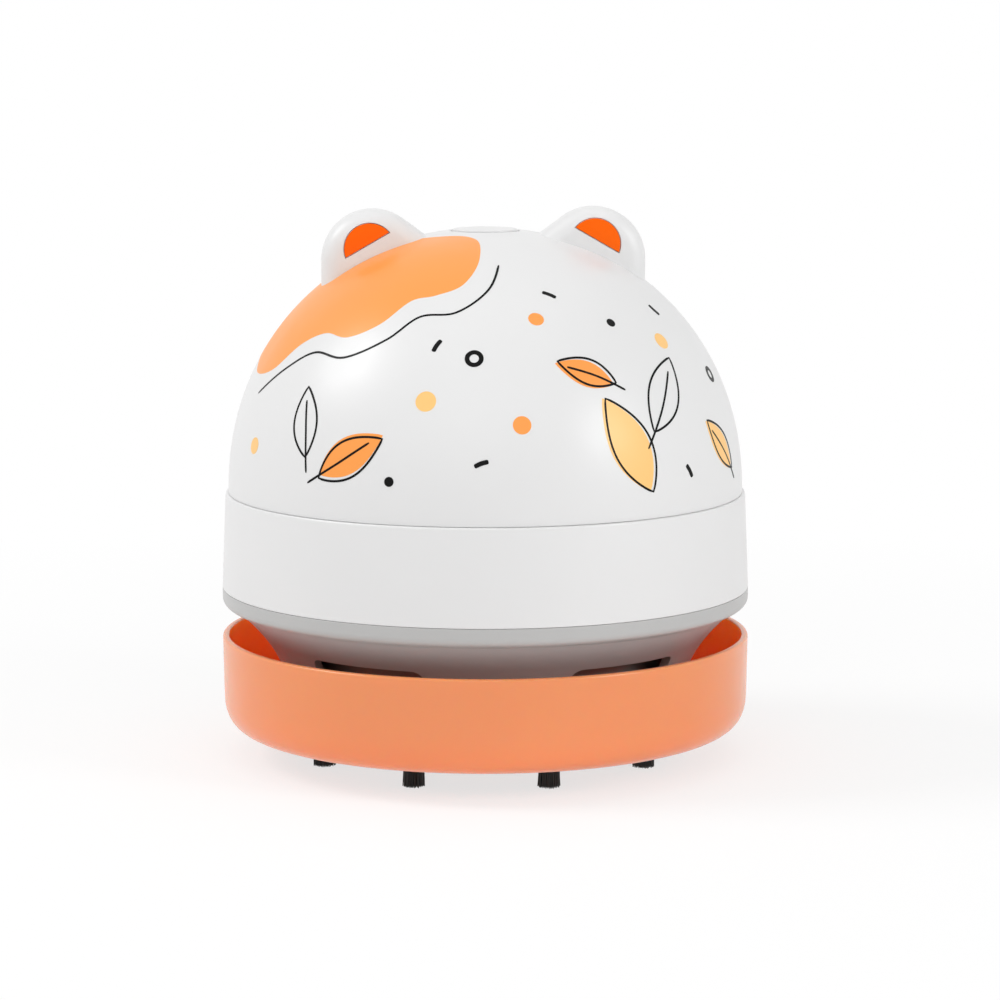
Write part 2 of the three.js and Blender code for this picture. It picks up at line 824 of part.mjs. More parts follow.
function filterGrid() {
  const outer = cupBore - runningGap;
  const rim = solid(ring(outer - gridBar, outer, gridBottom, gridTop));
  const middleRing = solid(ring(gridRing - gridBar / 2, gridRing + gridBar / 2, gridBottom, gridTop, pipeSides));
  const length = 2 * (outer - gridBar + weld);
  const bars = around(gridBars, 0, (direction) => (
    solid(block(length, gridBar, gridBottom, gridTop).rotateZ(direction / 2 * degree))
  ));
  return joined(rim, middleRing, ...bars);
}

// Fan plate: a disc with the inlet, hung on the bosses by three eyelets

function fanPlate() {
  const eyelet = bossRadius + clearance + eyeletWall;
  const disc = solid(ring(fanInlet, fanPlateRadius, fanPlateBottom, fanPlateTop));
  const lobe = rod(eyelet, fanPlateBottom, fanPlateTop).translate(0, -bossRing, 0);
  const arm = block(2 * eyelet, bossRing - fanPlateRadius + 2 * weld, fanPlateBottom, fanPlateTop);
  arm.translate(0, -(bossRing + fanPlateRadius) / 2 + weld, 0);
  const hole = rod(bossRadius + clearance, fanPlateBottom - overrun, fanPlateTop + overrun);
  hole.translate(0, -bossRing, 0);
  const arms = around(bossCount, bossFirst, (direction) => (
    joined(solid(facing(arm, direction)), solid(facing(lobe, direction)))
  ));
  const holes = around(bossCount, bossFirst, (direction) => solid(facing(hole, direction)));
  return cut(joined(disc, ...arms), ...holes);
}

// Fan: back plate, hub and swept blades, about its own centre line

function bladeOutline() {
  const left = [];
  const right = [];
  for (let i = 0; i <= fanBladeSteps; i += 1) {
    const share = i / fanBladeSteps;
    const radius = fanBladeRoot + (fanRadius - fanBladeRoot) * share;
    const half = fanBladeWidth / 2 / radius / degree;
    const middle = fanSweep * share;
    left.push(new THREE.Vector2(...placeOnRing(radius, middle - half)));
    right.unshift(new THREE.Vector2(...placeOnRing(radius, middle + half)));
  }
  return new THREE.Shape([...left, ...right]);
}

function fanWheel() {
  const backBottom = fanTop - fanBack;
  const back = solid(ring(shaftRadius + clearance, fanRadius, backBottom, fanTop));
  const hub = solid(ring(shaftRadius + clearance, fanHub, fanBottom, frameBottom - fanGap, smallSides));
  const blade = raised(bladeOutline(), fanBottom, backBottom + fanBack / 2);
  const blades = around(fanBlades, 0, (direction) => solid(facing(blade, direction)));
  return joined(back, hub, ...blades);
}

// Frame: plate on the bosses, sleeve round the motor, cradles for the cell, posts for the board

function motorFrame() {
  const plate = solid(ring(motorNose + clearance, frameRadius, frameBottom, frameTop));
  const rootHeight = frameTop - weld;
  const bore = motorRadius + clearance;
  const sleeve = solid(ring(bore, bore + sleeveWall, rootHeight, frameTop + sleeveHeight, earSides));
  const cradle = block(cradleWidth, 2 * (cellRadius + cradleWall), rootHeight, cellMiddle);
  const cradles = [-1, 1].map((side) => (
    solid(cradle.clone().translate(side * cradleSpread, cellBack, 0))
  ));
  const reach = cradleSpread + cradleWidth;
  const trough = rod(cellRadius + clearance, -reach, reach, 2 * smallSides).rotateY(90 * degree);
  trough.translate(0, cellBack, cellMiddle);
  const posts = [-1, 1].map((side) => (
    solid(rod(boardPost, rootHeight, boardBottom - clearance).translate(side * boardPostSpread, 0, 0))
  ));
  const pilots = [-1, 1].map((side) => (
    solid(screwBore(boardBottom - screwLength, boardBottom).translate(side * boardPostSpread, 0, 0))
  ));
  const through = screwBore(frameBottom - overrun, frameTop + overrun);
  const motorHoles = [-1, 1].map((side) => solid(through.clone().translate(side * motorScrewSpread, 0, 0)));
  const bossHoles = around(bossCount, bossFirst, (direction) => (
    solid(facing(through.clone().translate(0, -bossRing, 0), direction))
  ));
  const notch = block(notchWidth, 2 * notchDepth, frameBottom - overrun, frameTop + overrun);
  notch.translate(0, frameRadius, 0);
  const raisedParts = joined(plate, sleeve, ...posts, cut(joined(...cradles), solid(trough)));
  return cut(raisedParts, ...pilots, ...motorHoles, ...bossHoles, solid(notch));
}

function screwBore(low, high) {
  return rod(screwHole, low, high, screwSides);
}

// Motor

function motorCan() {
  const can = revolved([
    [shaftRadius + clearance, frameBottom],
    [motorNose, frameBottom],
    [motorNose, motorBottom],
    [motorRadius, motorBottom],
    [motorRadius, motorTop],
    [0, motorTop],
    [0, motorBottom + shaftInMotor + clearance],
    [shaftRadius + clearance, motorBottom + shaftInMotor + clearance],
  ].reverse(), earSides);
  const depth = screwLength - frameThickness;
  const holes = [-1, 1].map((side) => (
    solid(screwBore(motorBottom - overrun, motorBottom + depth).translate(side * motorScrewSpread, 0, 0))
  ));
  return cut(solid(can), ...holes);
}

// Screw with its head up and the head's underside at its origin

function screw() {
  const shank = solid(rod(screwShank, clearance - screwLength, weld, screwSides));
  const head = solid(rod(screwHead, 0, screwHeadHeight, screwSides));
  const slot = block(2 * (screwHead + overrun), screwSlot, screwHeadHeight / 2, screwHeadHeight + overrun);
  return cut(joined(shank, head), solid(slot));
}

// Battery cell along X, with its contact nub

function batteryCell() {
  const half = cellLength / 2;
  const cell = revolved([
    [0, -half],
    [cellRadius, -half],
    [cellRadius, half],
    [cellNub, half],
    [cellNub, half + cellNubHeight],
    [0, half + cellNubHeight],
  ], 2 * smallSides);
  return cell.rotateY(90 * degree).translate(0, cellBack, cellMiddle);
}

// Charging board under the frame's back edge, with the port and the lamp

function chargeBoard() {
  const back = frameRadius - chargeBoardInset;
  const board = block(chargeBoardWidth, chargeBoardDepth, chargeBoardBottom, chargeBoardTop);
  return board.translate(0, back - chargeBoardDepth / 2, 0);
}

function chargePort() {
  const mouth = bandRadiusAt(portMiddle) - portInset;
  const low = portTop - portHeight;
  const body = forward(roundedOutline(portWidth, low, portTop, portHeight / 4), mouth - portDepth, mouth);
  const hollowOutline = roundedOutline(portWidth - 2 * portWall, low + portWall, portTop - portWall,
    portHeight / 4 - portWall / 4);
  const hollow = forward(hollowOutline, mouth - portDepth + portFloor, mouth + overrun);
  const tongueWidth = portWidth - 4 * portWall - 2 * clearance;
  const tongue = block(tongueWidth, portDepth - portFloor, portMiddle - portTongue / 2,
    portMiddle + portTongue / 2);
  tongue.translate(0, -(mouth - portFloor - (portDepth - portFloor) / 2 - weld), 0);
  return joined(cut(solid(body), solid(hollow)), solid(tongue));
}

function chargeLamp() {
  const face = Math.sqrt(bandRadiusAt(lampMiddle) ** 2 - lampSide ** 2);
  return rod(lampRadius, face - lampLength, face).rotateX(-90 * degree).translate(lampSide, 0, lampMiddle);
}

// Leads: round tubes along smooth routes

function lead(points) {
  const section = new THREE.Shape();
  const corners = [];
  for (let i = 0; i < leadSides; i += 1) {
    const angle = 2 * Math.PI * i / leadSides;
    corners.push(new THREE.Vector2(leadRadius * Math.cos(angle), leadRadius * Math.sin(angle)));
  }
  section.setFromPoints(corners);
  const route = new THREE.CatmullRomCurve3(points.map((point) => new THREE.Vector3(...point)));
  return new THREE.ExtrudeGeometry(section, { steps: leadSteps, extrudePath: route });
}

function motorLead(side) {
  const low = motorCapTop + clearance;
  const high = boardBottom - clearance;
  const inner = side * motorLeadSpread;
  const outer = inner + side * motorLeadStep;
  return lead([[inner, 0, low], [inner, 0, low + leadTail], [outer, 0, high - leadTail], [outer, 0, high]]);
}

function cellLead(side) {
  const nub = side > 0 ? cellNubHeight : 0;
  const start = side * (cellLength / 2 + nub + clearance);
  const bend = start + side * cellLeadReach;
  const high = boardBottom - clearance;
  const top = side * cellLeadTopSpread;
  return lead([
    [start, cellBack, cellMiddle],
    [bend, cellBack, cellMiddle + cellLeadReach],
    [bend, (cellBack + cellLeadTopBack) / 2, (cellMiddle + high) / 2],
    [top, cellLeadTopBack, high - 2 * leadTail],
    [top, cellLeadTopBack, high],
  ]);
}

function chargeLead(side) {
  const across = side * chargeLeadSpread;
  const low = chargeBoardTop + clearance;
  const high = boardBottom - clearance;
  const cellTop = cellMiddle + cellRadius;
  return lead([
    [across, chargeLeadBack, low],
    [across, chargeLeadBack, low + leadTail],
    [across, chargeLeadBack - leadTail, cellTop],
    [across, (chargeLeadBack + chargeLeadTopBack) / 2, (cellTop + high) / 2 + leadTail],
    [across, chargeLeadTopBack, high - leadTail],
    [across, chargeLeadTopBack, high],
  ]);
}

// Assembly

const vacuum = new THREE.Group();

const tray = new THREE.Group();
vacuum.add(tray);
tray.add(piece('dust_tray', dustTray(), orangeGloss));
tray.add(piece('suction_pipe', suctionPipe(), orangeGloss));
const strip = brushStrip();
const stripNames = ['brush_strip_front', 'brush_strip_right', 'brush_strip_back', 'brush_strip_left'];
around(stripCount, brushTurn, (direction, i) => {
  const mesh = piece(stripNames[i], strip, blackBristle);
  mesh.rotation.z = direction * degree;
  tray.add(mesh);
});

const filter = new THREE.Group();
vacuum.add(filter);
filter.add(piece('filter_cup', filterCup(), filterGrey));
filter.add(piece('filter_grid', filterGrid(), filterGrey));
const spongeBottom = gridTop + clearance;
const sponge = rod(cupBore - runningGap, spongeBottom, spongeBottom + spongeThickness, roundSides);
filter.add(piece('filter_sponge', sponge, darkSponge));
const seal = ring(cupRadius - sealWidth, cupRadius, sealBottom, sealBottom + sealThickness);
filter.add(piece('filter_seal', seal, blackRubber));

const housing = new THREE.Group();
vacuum.add(housing);
housing.add(piece('lower_housing', lowerHousing(), greyGloss));
housing.add(piece('middle_band', middleBand(), whiteGloss));
housing.add(piece('dome_cover', domeCover(), whiteGloss));
for (const [word, side] of [['right', 1], ['left', -1]]) {
  housing.add(piece(`ear_${word}`, ear(side), whiteGloss));
  housing.add(piece(`ear_inlay_${word}`, earInlay(side), vividOrange));
}
housing.add(piece('fan_plate', fanPlate(), innerWhite));
housing.add(piece('motor_frame', motorFrame(), innerWhite));
housing.add(piece('motor_can', motorCan(), steel));
const motorCap = rod(motorRadius - clearance, motorTop + clearance, motorCapTop, earSides);
housing.add(piece('motor_end_cap', motorCap, fanBlack));
housing.add(piece('battery_cell', batteryCell(), cellBlue));
housing.add(piece('circuit_board', circuitBoard(), boardGreen));
housing.add(piece('switch_body', switchBody(), fanBlack));
housing.add(piece('charge_board', chargeBoard(), boardGreen));
const port = piece('charge_port', chargePort(), steel);
port.rotation.z = Math.PI;
housing.add(port);
housing.add(piece('charge_lamp', chargeLamp(), lampLens));
for (const [word, side, material] of [['red', 1, leadRed], ['black', -1, leadBlack]]) {
  housing.add(piece(`motor_lead_${word}`, motorLead(side), material));
  housing.add(piece(`cell_lead_${word}`, cellLead(side), material));
  housing.add(piece(`charge_lead_${word}`, chargeLead(side), material));
}

// Screws hang their heads a clearance off the face that they hold
const screwShape = screw();
around(bossCount, bossFirst, (direction, i) => {
  const mesh = piece(`frame_screw_${i + 1}`, screwShape, steel);
  mesh.position.set(...placeOnRing(bossRing, direction), frameTop + clearance);
  housing.add(mesh);
});
[1, -1].forEach((side, i) => {
  const held = piece(`board_screw_${i + 1}`, screwShape, steel);
  held.position.set(side * boardPostSpread, 0, boardTop + clearance);
  housing.add(held);
  const raising = piece(`motor_screw_${i + 1}`, screwShape, steel);
  raising.position.set(side * motorScrewSpread, 0, frameBottom - clearance);
  raising.rotation.x = Math.PI;
  housing.add(raising);
});

const fan = new THREE.Group();
housing.add(fan);
fan.add(piece('fan_wheel', fanWheel(), fanBlack));
const shaftBottom = fanBottom + clearance;
fan.add(piece('motor_shaft', rod(shaftRadius, shaftBottom, motorBottom + shaftInMotor, screwSides), steel));

const button = new THREE.Group();
housing.add(button);
button.add(piece('power_button', powerButton(), whiteGloss));
const plunger = block(plungerWidth, plungerWidth, plungerBottom, plungerTop);
button.add(piece('switch_plunger', plunger, innerWhite));

export default vacuum;
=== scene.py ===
import random
from math import acos, asin, ceil, copysign, cos, degrees, hypot, pi, radians, sin, sqrt, tan

import bmesh
import bpy
from mathutils import Matrix, Vector, noise


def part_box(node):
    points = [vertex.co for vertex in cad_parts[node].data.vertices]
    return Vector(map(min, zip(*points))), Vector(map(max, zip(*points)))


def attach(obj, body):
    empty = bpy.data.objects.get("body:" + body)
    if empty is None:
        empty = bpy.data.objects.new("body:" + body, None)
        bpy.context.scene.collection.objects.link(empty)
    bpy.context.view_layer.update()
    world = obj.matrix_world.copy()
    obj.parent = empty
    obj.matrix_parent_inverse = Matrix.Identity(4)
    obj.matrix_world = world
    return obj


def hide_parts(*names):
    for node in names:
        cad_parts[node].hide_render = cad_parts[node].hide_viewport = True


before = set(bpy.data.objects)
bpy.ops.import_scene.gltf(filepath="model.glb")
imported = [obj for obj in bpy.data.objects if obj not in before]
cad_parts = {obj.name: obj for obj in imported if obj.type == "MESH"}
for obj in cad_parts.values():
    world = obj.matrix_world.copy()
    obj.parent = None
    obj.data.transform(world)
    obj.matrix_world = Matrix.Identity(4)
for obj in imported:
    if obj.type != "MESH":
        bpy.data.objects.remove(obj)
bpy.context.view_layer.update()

# Shapes are written in millimetres, in the CAD model's frame: +Z up, the front faces -Y.
# Directions are degrees counted from the front towards +X.
MM = 0.001
BACK = 180  # the direction of the back
ROUND_SIDES = 256  # facets round the large rings
FINE_SIDES = 96  # round ears, fan and button
SMALL_SIDES = 40  # round posts and small holes
POLE_RADIUS = 1e-6  # a profile's points that are nearer to the axis lie on it
FILLET_STEPS = 5
FILLET_SHARE = 0.48  # of a side of the outline, the most that a rounding takes
SMOOTH_ANGLE = radians(32)
PRINT_ANGLE = radians(60)
SPONGE_ANGLE = radians(70)
WELD = 0.4  # how deep a joined feature runs into what carries it
FLUSH_STEP = 0.04  # how far a joined feature stays below a face that it would meet flush
OVERRUN = 1.0  # how far a cutting shape passes the face that it cuts
JOINT_GAP = 0.3  # between pieces that touch
SEAM = 0.04  # hairline that shows between the shells

# Roundings of edges, from crisp to soft
CRISP = 0.1
THIN_EDGE = 0.15
FINE = 0.2
STRIP_EDGE = 0.25
EDGE = 0.3
WIDE = 0.4
SOFT = 0.5


def node_box(node):
    low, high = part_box(node)
    return low / MM, high / MM


# Places that the CAD model gives
tray_low, tray_high = node_box("dust_tray")
pipe_low, pipe_high = node_box("suction_pipe")
cup_low, cup_high = node_box("filter_cup")
grid_low, grid_high = node_box("filter_grid")
sponge_low, sponge_high = node_box("filter_sponge")
seal_low, seal_high = node_box("filter_seal")
housing_low, housing_high = node_box("lower_housing")
band_low, band_high = node_box("middle_band")
dome_low, dome_high = node_box("dome_cover")
plate_low, plate_high = node_box("fan_plate")
fan_low, fan_high = node_box("fan_wheel")
button_low, button_high = node_box("power_button")
port_low, port_high = node_box("charge_port")
lamp_low, lamp_high = node_box("charge_lamp")

# Tray and suction pipe
TRAY_WALL = 1.6
TRAY_FLOOR = 3.0
TRAY_DRAFT = 0.3  # the wall leans in by this much at the bottom
TRAY_CORNER = 6.0
TRAY_RIM = 1.1  # the wall's thickness at the rim, where it is thinnest
TRAY_RIM_OUTER = 0.6
TRAY_RIM_INNER = 0.35
PIPE_MOUTH = 10.0
PIPE_BORE = 6.0
PIPE_WALL = 1.5
PIPE_FLARE = 4.0
PIPE_FLARE_ROUND = 2.5
PIPE_FLANGE = 1.2

# Brush strips and tufts
TUFT_RING = 29.3
TUFT_COUNT = 8
STRIP_WORDS = ("front", "right", "back", "left")
STRIP_WIDTH = 5.0
STRIP_THICKNESS = 1.2
STRIP_ANGLE = 66
BRUSH_TURN = -4.6
TUFT_RADIUS = 1.65
TUFT_ROOT = 0.93  # how wide the tuft is at its root, for a tip of 1
TUFT_SPLAY = 0.12  # how far the outer strands lean out by their tips
STRANDS_PER_TUFT = 190
FULL_STRAND_EVERY = 4
STRAND_RADIUS = 0.11
STRAND_TAPER = 0.35
STRAND_STRAY = 0.06  # at the tip
STRAND_SHORT = 0.14  # by which strands fall short of the floor, and the most
STRAND_SHORT_MOST = 0.9
STRAND_BOW = 0.05
STRAND_BOW_OUT = 0.03
STRAND_SIDES = 5
STRAND_STEPS = 4
GOLDEN_ANGLE = 137.50776

# Twist lock
LUG_COUNT = 3
LUG_FIRST = 60
LUG_ANGLE = 14
LUG_REACH = 2.2
LUG_HEIGHT = 1.5
LOCK_TURN = 18
HOOK_WALL = 1.6
HOOK_LIP = 1.5
HOOK_GAP = 0.4
STOP_ANGLE = 2.4
STOP_GAP_ANGLE = 0.8

# Lower housing
NECK_RADIUS = 34.5
NECK_WALL = 1.8
SKIRT_HEIGHT = 4.0
FLARE_START = 1.1
FLARE_POWER = 1.75
FLARE_STEPS = 22
FLANGE_FOOT = 42.9
FLANGE_HEIGHT = 3.3
FLANGE_ROUND = 1.6
FLANGE_ROUND_START = radians(-60)
FLANGE_EDGE = 0.12
WINDOW_COUNT = 5
WINDOW_FIRST = 36
WINDOW_WIDTH = 21.6
WINDOW_HEAD = 0.4
WINDOW_CORNER = 1.7
BOSS_COUNT = 3
BOSS_FIRST = 30
BOSS_RING = 36.4
BOSS_RADIUS = 2.3
BOSS_STEP_RADIUS = 3.4
BOSS_ROOT = 1.8
EYELET_WALL = 1.3
EYELET_ROOT = 1.0  # how deep an eyelet runs into the plate
SPIGOT_WALL = 1.5
SPIGOT_HEIGHT = 4.0

# Band, dome, button, port
SHELL_WALL = 1.8
BAND_TOP_RADIUS = 44.35
BAND_FOOT_EDGE = 0.18
BAND_EDGE = 0.4
DOME_HEIGHT = 44.4
DOME_POWER = 2.08
DOME_STEPS = 84
DOME_FOOT_EDGE = 0.15
BUTTON_HOLE = 5.85
CROWN_EDGE = 0.45  # rounding of the hole, and width of that round the button's top
BUTTON_PROUD = 0.2  # the button's middle above the dome's crown
BUTTON_RISE = 0.28  # from the edge of its top to the middle
BUTTON_FLANGE = 1.0
BUTTON_STEM = 2.0
BUTTON_STEM_LENGTH = 1.2
PORT_WALL = 0.6
PORT_FLOOR = 1.2
PORT_TONGUE = 0.8
PORT_TONGUE_GAP = 1.5

# Ears
EAR_RADIUS = 8.7
EAR_FLARE = radians(27)  # how far the sides lean out below the round top
EAR_LENGTH = 15.0  # from the middle of the round top down, before the dome cuts it
# Across, below the crown, and how far the inlay sits towards the middle
EAR_PLACES = {"left": (-19.1, 5.3, 0.6), "right": (18.3, 5.0, 1.4)}
EAR_FRONT = 5.5
EAR_BACK = 3.5
EAR_ROUND = 3.0
EAR_TILT = 27
EAR_SINK = 0.25  # how deep the ear's foot runs into the dome
INLAY_TILT = 30
INLAY_ARC = 4.28
INLAY_HEIGHT = 3.5
INLAY_RISE = 2.25
INLAY_THICKNESS = 0.5
INLAY_PROUD = 0.1
INLAY_GAP = 0.14
INLAY_EDGE = 0.12

# Filter and fan
CUP_WALL = 1.3
CUP_FOOT_HEIGHT = 1.2
GRID_LEDGE = 1.0
GRID_BAR = 1.6
GRID_BARS = 4
GRID_RING = 15.0
SPONGE_STEPS = 46
SPONGE_RIM = [(0.2, 0.1), (0, 0.6)]  # in from the rim and from the face
SPONGE_PIT = 0.16
SPONGE_PITS = [(0.16, 1.1), (0.12, 3.1)]  # depth of the noise, and its rate per millimetre
SPONGE_PIT_MOST = 0.4
SPONGE_DRAWN = 0.2  # share of a pit's depth that also draws the rim in
SEAL_WIDTH = 2.6
SEAL_GROOVE = 0.5
FAN_PLATE_RADIUS = 33.0
FAN_INLET = 9.5
FAN_INLET_EDGE = 0.7
FAN_BACK = 1.2
FAN_HEIGHT = 6.8  # from the blades' foot to the top of the back plate
FAN_HUB = 4.0
FAN_HUB_EDGE = 0.6
FAN_HUB_ROOT = 1.2
FAN_BORE = 1.3
FAN_BLADES = 9
FAN_BLADE_WIDTH = 1.1
FAN_BLADE_TAPER = 0.35
FAN_BLADE_ROOT = 10.0
FAN_BLADE_SHORT = 0.2
FAN_BLADE_WELD = 0.5
FAN_SWEEP = -38
FAN_BLADE_STEPS = 18

# Print on the dome: places are direction and climb, from the seam (0) to the crown (90)
INK_DEPTH = 0.03
INK_PROUD = 0.02
INK_LAYER = 0.012  # by which each ink lies above the last
FILL_STEP = 1.3  # the most that a flat face of a fill spans
LINE_WIDTH = 0.38
RING_WIDTH = 0.76
BOLD_WIDTH = 0.75
COARSE_CURVE = 8  # points from one given point of a curve to the next
WAVE_CURVE = 10
FINE_CURVE = 14
LINE_END = 3  # points over which a line's end is rounded
NEARBY = 0.1  # degrees between the places that give the surface's slope
# The wave over the left shoulder, and the line beside it
WAVE = [(-10, 76), (-6, 66), (-11, 56), (-20, 52), (-28, 50), (-35, 43), (-44, 39), (-53, 39.5),
        (-61, 36), (-69, 29), (-80, 27), (-90, 30), (-101, 30), (-113, 38), (-114, 54), (-97, 68),
        (-65, 76), (-32, 79)]
WAVE_LINE = [(3, 63), (-2, 54), (-12, 47), (-23, 45.5), (-31, 39), (-42, 34), (-53, 34.5),
             (-62, 30), (-72, 23)]
# Leaves: direction, climb and tilt, length, width, ink of the fill, with a midrib or not
LEAVES = [
    ((30, 15, 24), 17.5, 7.6, "pale", False),
    ((44, 25, -38), 15.5, 6.6, None, True),
    ((22, 31, 66), 10.5, 4.6, "orange", True),
    ((-34, 13, -58), 13.5, 6.0, "orange", True),
    ((-48, 19, 14), 12.0, 5.2, None, True),
    ((62, 12, 40), 11.5, 5.0, "pale", True),
]
LEAF_STEPS = 26
LEAF_POWER = 0.85  # rounder sides than a sine's
LEAF_BELLY = 1.12  # width at the stem's end, and how much of it goes by the tip
LEAF_NARROWING = 0.24
LEAF_SHIFT = (0.5, -0.35)  # of the line from its fill
RIB = [(0, -0.72), (0.25, -0.2), (0, 0.3)]  # across, and up as a share of the leaf
# Dots and rings: direction and climb, radius, ink, ring or not
DOTS = [
    ((-17, 25), 1.7, "pale", False), ((-6, 35), 1.15, "black", True),
    ((5, 20), 1.5, "orange", False), ((12, 45), 1.3, "orange", False),
    ((36, 43), 0.8, "black", False), ((-24, 8), 0.8, "black", False),
    ((52, 37), 1.5, "pale", False), ((70, 27), 1.1, "black", True), ((-66, 12), 1.4, "pale", False),
]
# Short bold dashes: direction, climb and tilt
DASHES = [(-4, 12, 20), (19, 52, -35), (47, 8, -60), (60, 45, 110), (-16, 38, 65)]
DASH_LENGTH = 2.4
DASH_BOW = 0.12

# Floor, light and camera
FLOOR_HALF = 6000
FLOOR_SHADE = 0.94
FLOOR_GLOW = 0.72  # share of plain white that the camera sees in the floor near the part
FLOOR_NEAR = 70  # where that share starts to grow
FLOOR_FAR = 260  # where the floor is plain white
AMBIENT = 0.5
# Soft lights: name, place, width, height, power, seen in gloss or not
LIGHTS = [
    ("top_softbox", (0, -50, 900), 900, 900, 1.2, False),
    ("left_softbox", (-700, 0, 680), 420, 420, 3.2, True),
    ("right_softbox", (720, -500, 395), 340, 340, 2.2, True),
    ("front_softbox", (0, -950, 650), 1100, 400, 2.1, False),
]
LIGHT_TARGET = (0, 0, 45)
CAMERA_PLACE = (-34.87, -629.04, 135.3)
CAMERA_TARGET = (2.50, -0.15, 44.0)
CAMERA_LENS = 133.85
CAMERA_SENSOR = 36
CAMERA_FAR = 20000

# What follows from those places and sizes
floor_top = tray_low.z + TRAY_FLOOR
tray_rim = tray_high.z
pipe_hole = PIPE_MOUTH + PIPE_WALL + JOINT_GAP
strip_inner, strip_outer = TUFT_RING - STRIP_WIDTH / 2, TUFT_RING + STRIP_WIDTH / 2
lug_tip = NECK_RADIUS + LUG_REACH
skirt_bore = NECK_RADIUS - NECK_WALL
window_sill = housing_low.z + SKIRT_HEIGHT
window_top = tray_rim - WINDOW_HEAD
flare_bottom = window_sill + FLARE_START
flange_top = band_low.z - JOINT_GAP
flange_bottom = flange_top - FLANGE_HEIGHT
spigot_top = flange_top + SPIGOT_HEIGHT
spigot_outer = BAND_TOP_RADIUS - SHELL_WALL - JOINT_GAP
spigot_inner = spigot_outer - SPIGOT_WALL
dome_bottom = band_high.z + JOINT_GAP
dome_middle = Vector((0, 0, dome_bottom))
crown = dome_bottom + DOME_HEIGHT
lamp_radius = (lamp_high.x - lamp_low.x) / 2
port_middle = (port_low.z + port_high.z) / 2
port_width, port_height = port_high.x - port_low.x, port_high.z - port_low.z


# Meshes

def linked(name, data):
    made = bpy.data.objects.new(name, data)
    bpy.context.scene.collection.objects.link(made)
    return made


def mesh_object(name, points, faces):
    """A mesh object from points in millimetres."""
    mesh = bpy.data.meshes.new(name)
    mesh.from_pydata([Vector(p) * MM for p in points], [], faces)
    editing = bmesh.new()
    editing.from_mesh(mesh)
    bmesh.ops.recalc_face_normals(editing, faces=editing.faces)
    editing.to_mesh(mesh)
    editing.free()
    return linked(name, mesh)


def modified(made, kind, **settings):
    """The object with a modifier made into its mesh."""
    change = made.modifiers.new("change", kind)
    for setting, value in settings.items():
        setattr(change, setting, value)
    bpy.context.view_layer.update()
    shape = made.evaluated_get(bpy.context.evaluated_depsgraph_get())
    mesh = bpy.data.meshes.new_from_object(shape)
    made.modifiers.clear()
    made.data = mesh
    return made


def carved(made, cutter, operation="DIFFERENCE"):
    modified(made, "BOOLEAN", object=cutter, operation=operation, solver="EXACT")
    bpy.data.objects.remove(cutter)
    return made


def bevelled(made, width, segments=2):
    return modified(made, "BEVEL", width=width * MM, segments=segments, limit_method="ANGLE",
                    angle_limit=SMOOTH_ANGLE)


def joined(name, parts):
    """One mesh object that holds all the parts' meshes."""
    editing = bmesh.new()
    for part in parts:
        editing.from_mesh(part.data)
        bpy.data.objects.remove(part)
    mesh = bpy.data.meshes.new(name)
    editing.to_mesh(mesh)
    editing.free()
    return linked(name, mesh)


def moved(made, x, y, z):
    made.data.transform(Matrix.Translation(Vector((x, y, z)) * MM))
    return made


def turned(made, angle, axis="Z"):
    """The object's mesh turned, by default from the front to a direction."""
    made.data.transform(Matrix.Rotation(radians(angle), 4, axis))
    return made


def forward(made):
    """Stands a prism up: its Y becomes Z and it grows towards the front."""
    return turned(made, 90, "X")


def directions(count, first=0, span=360):
    return [first + span * i / count for i in range(count)]


def ringed(made, count, first, make, operation="DIFFERENCE"):
    """Carves copies of a front shape out of the object all round, or joins them on with UNION."""
    copies = [turned(make(), direction) for direction in directions(count, first)]
    return carved(made, joined("copies", copies), operation)


# Outlines and profiles

def arc(radius, start, end, steps):
    angles = [start + (end - start) * i / steps for i in range(steps + 1)]
    return [(radius * cos(a), radius * sin(a)) for a in angles]


def circle(radius, sides=SMALL_SIDES):
    return arc(radius, 0, 2 * pi, sides)[:-1]


def facing(angle, radius=1):
    """A point at an angle from the front."""
    return radius * sin(angle), -radius * cos(angle)


def shifted(points, across, up):
    return [(x + across, y + up) for x, y in points]


def filleted(corners, steps=FILLET_STEPS):
    """Points of a closed outline, from corners given as (x, y) or (x, y, radius)."""
    points = []
    for i, corner in enumerate(corners):
        here = Vector(corner[:2])
        if len(corner) < 3:
            points.append(here)
            continue
        before = Vector(corners[i - 1][:2]) - here
        after = Vector(corners[(i + 1) % len(corners)][:2]) - here
        reach = min(corner[2] / tan(before.angle(after) / 2),
                    FILLET_SHARE * before.length, FILLET_SHARE * after.length)
        start = here + before.normalized() * reach
        end = here + after.normalized() * reach
        for k in range(steps + 1):
            t = k / steps
            points.append(start * (1 - t) ** 2 + here * 2 * t * (1 - t) + end * t * t)
    return points


def lathe(name, profile, sides=ROUND_SIDES, change=Vector):
    """A closed profile of (radius, height) points turned round Z; change may move each point."""
    points, rings = [], []
    for radius, height in profile:
        count = sides if radius > POLE_RADIUS else 1
        rings.append([len(points) + i % count for i in range(sides)])
        points += [change((x, y, height)) for x, y in circle(radius, count)]
    faces = []
    for k, ring in enumerate(rings):
        other = rings[(k + 1) % len(rings)]
        for i in range(sides):
            j = (i + 1) % sides
            face = list(dict.fromkeys((ring[i], ring[j], other[j], other[i])))
            if len(face) > 2:
                faces.append(face)
    return mesh_object(name, points, faces)


def rounded(name, corners, sides=ROUND_SIDES, steps=FILLET_STEPS):
    """A profile of corners, with their roundings, turned round Z."""
    return lathe(name, filleted(corners, steps), sides)


def cylinder(radius, low, high):
    return lathe("cylinder", [(0, low), (radius, low), (radius, high), (0, high)], SMALL_SIDES)


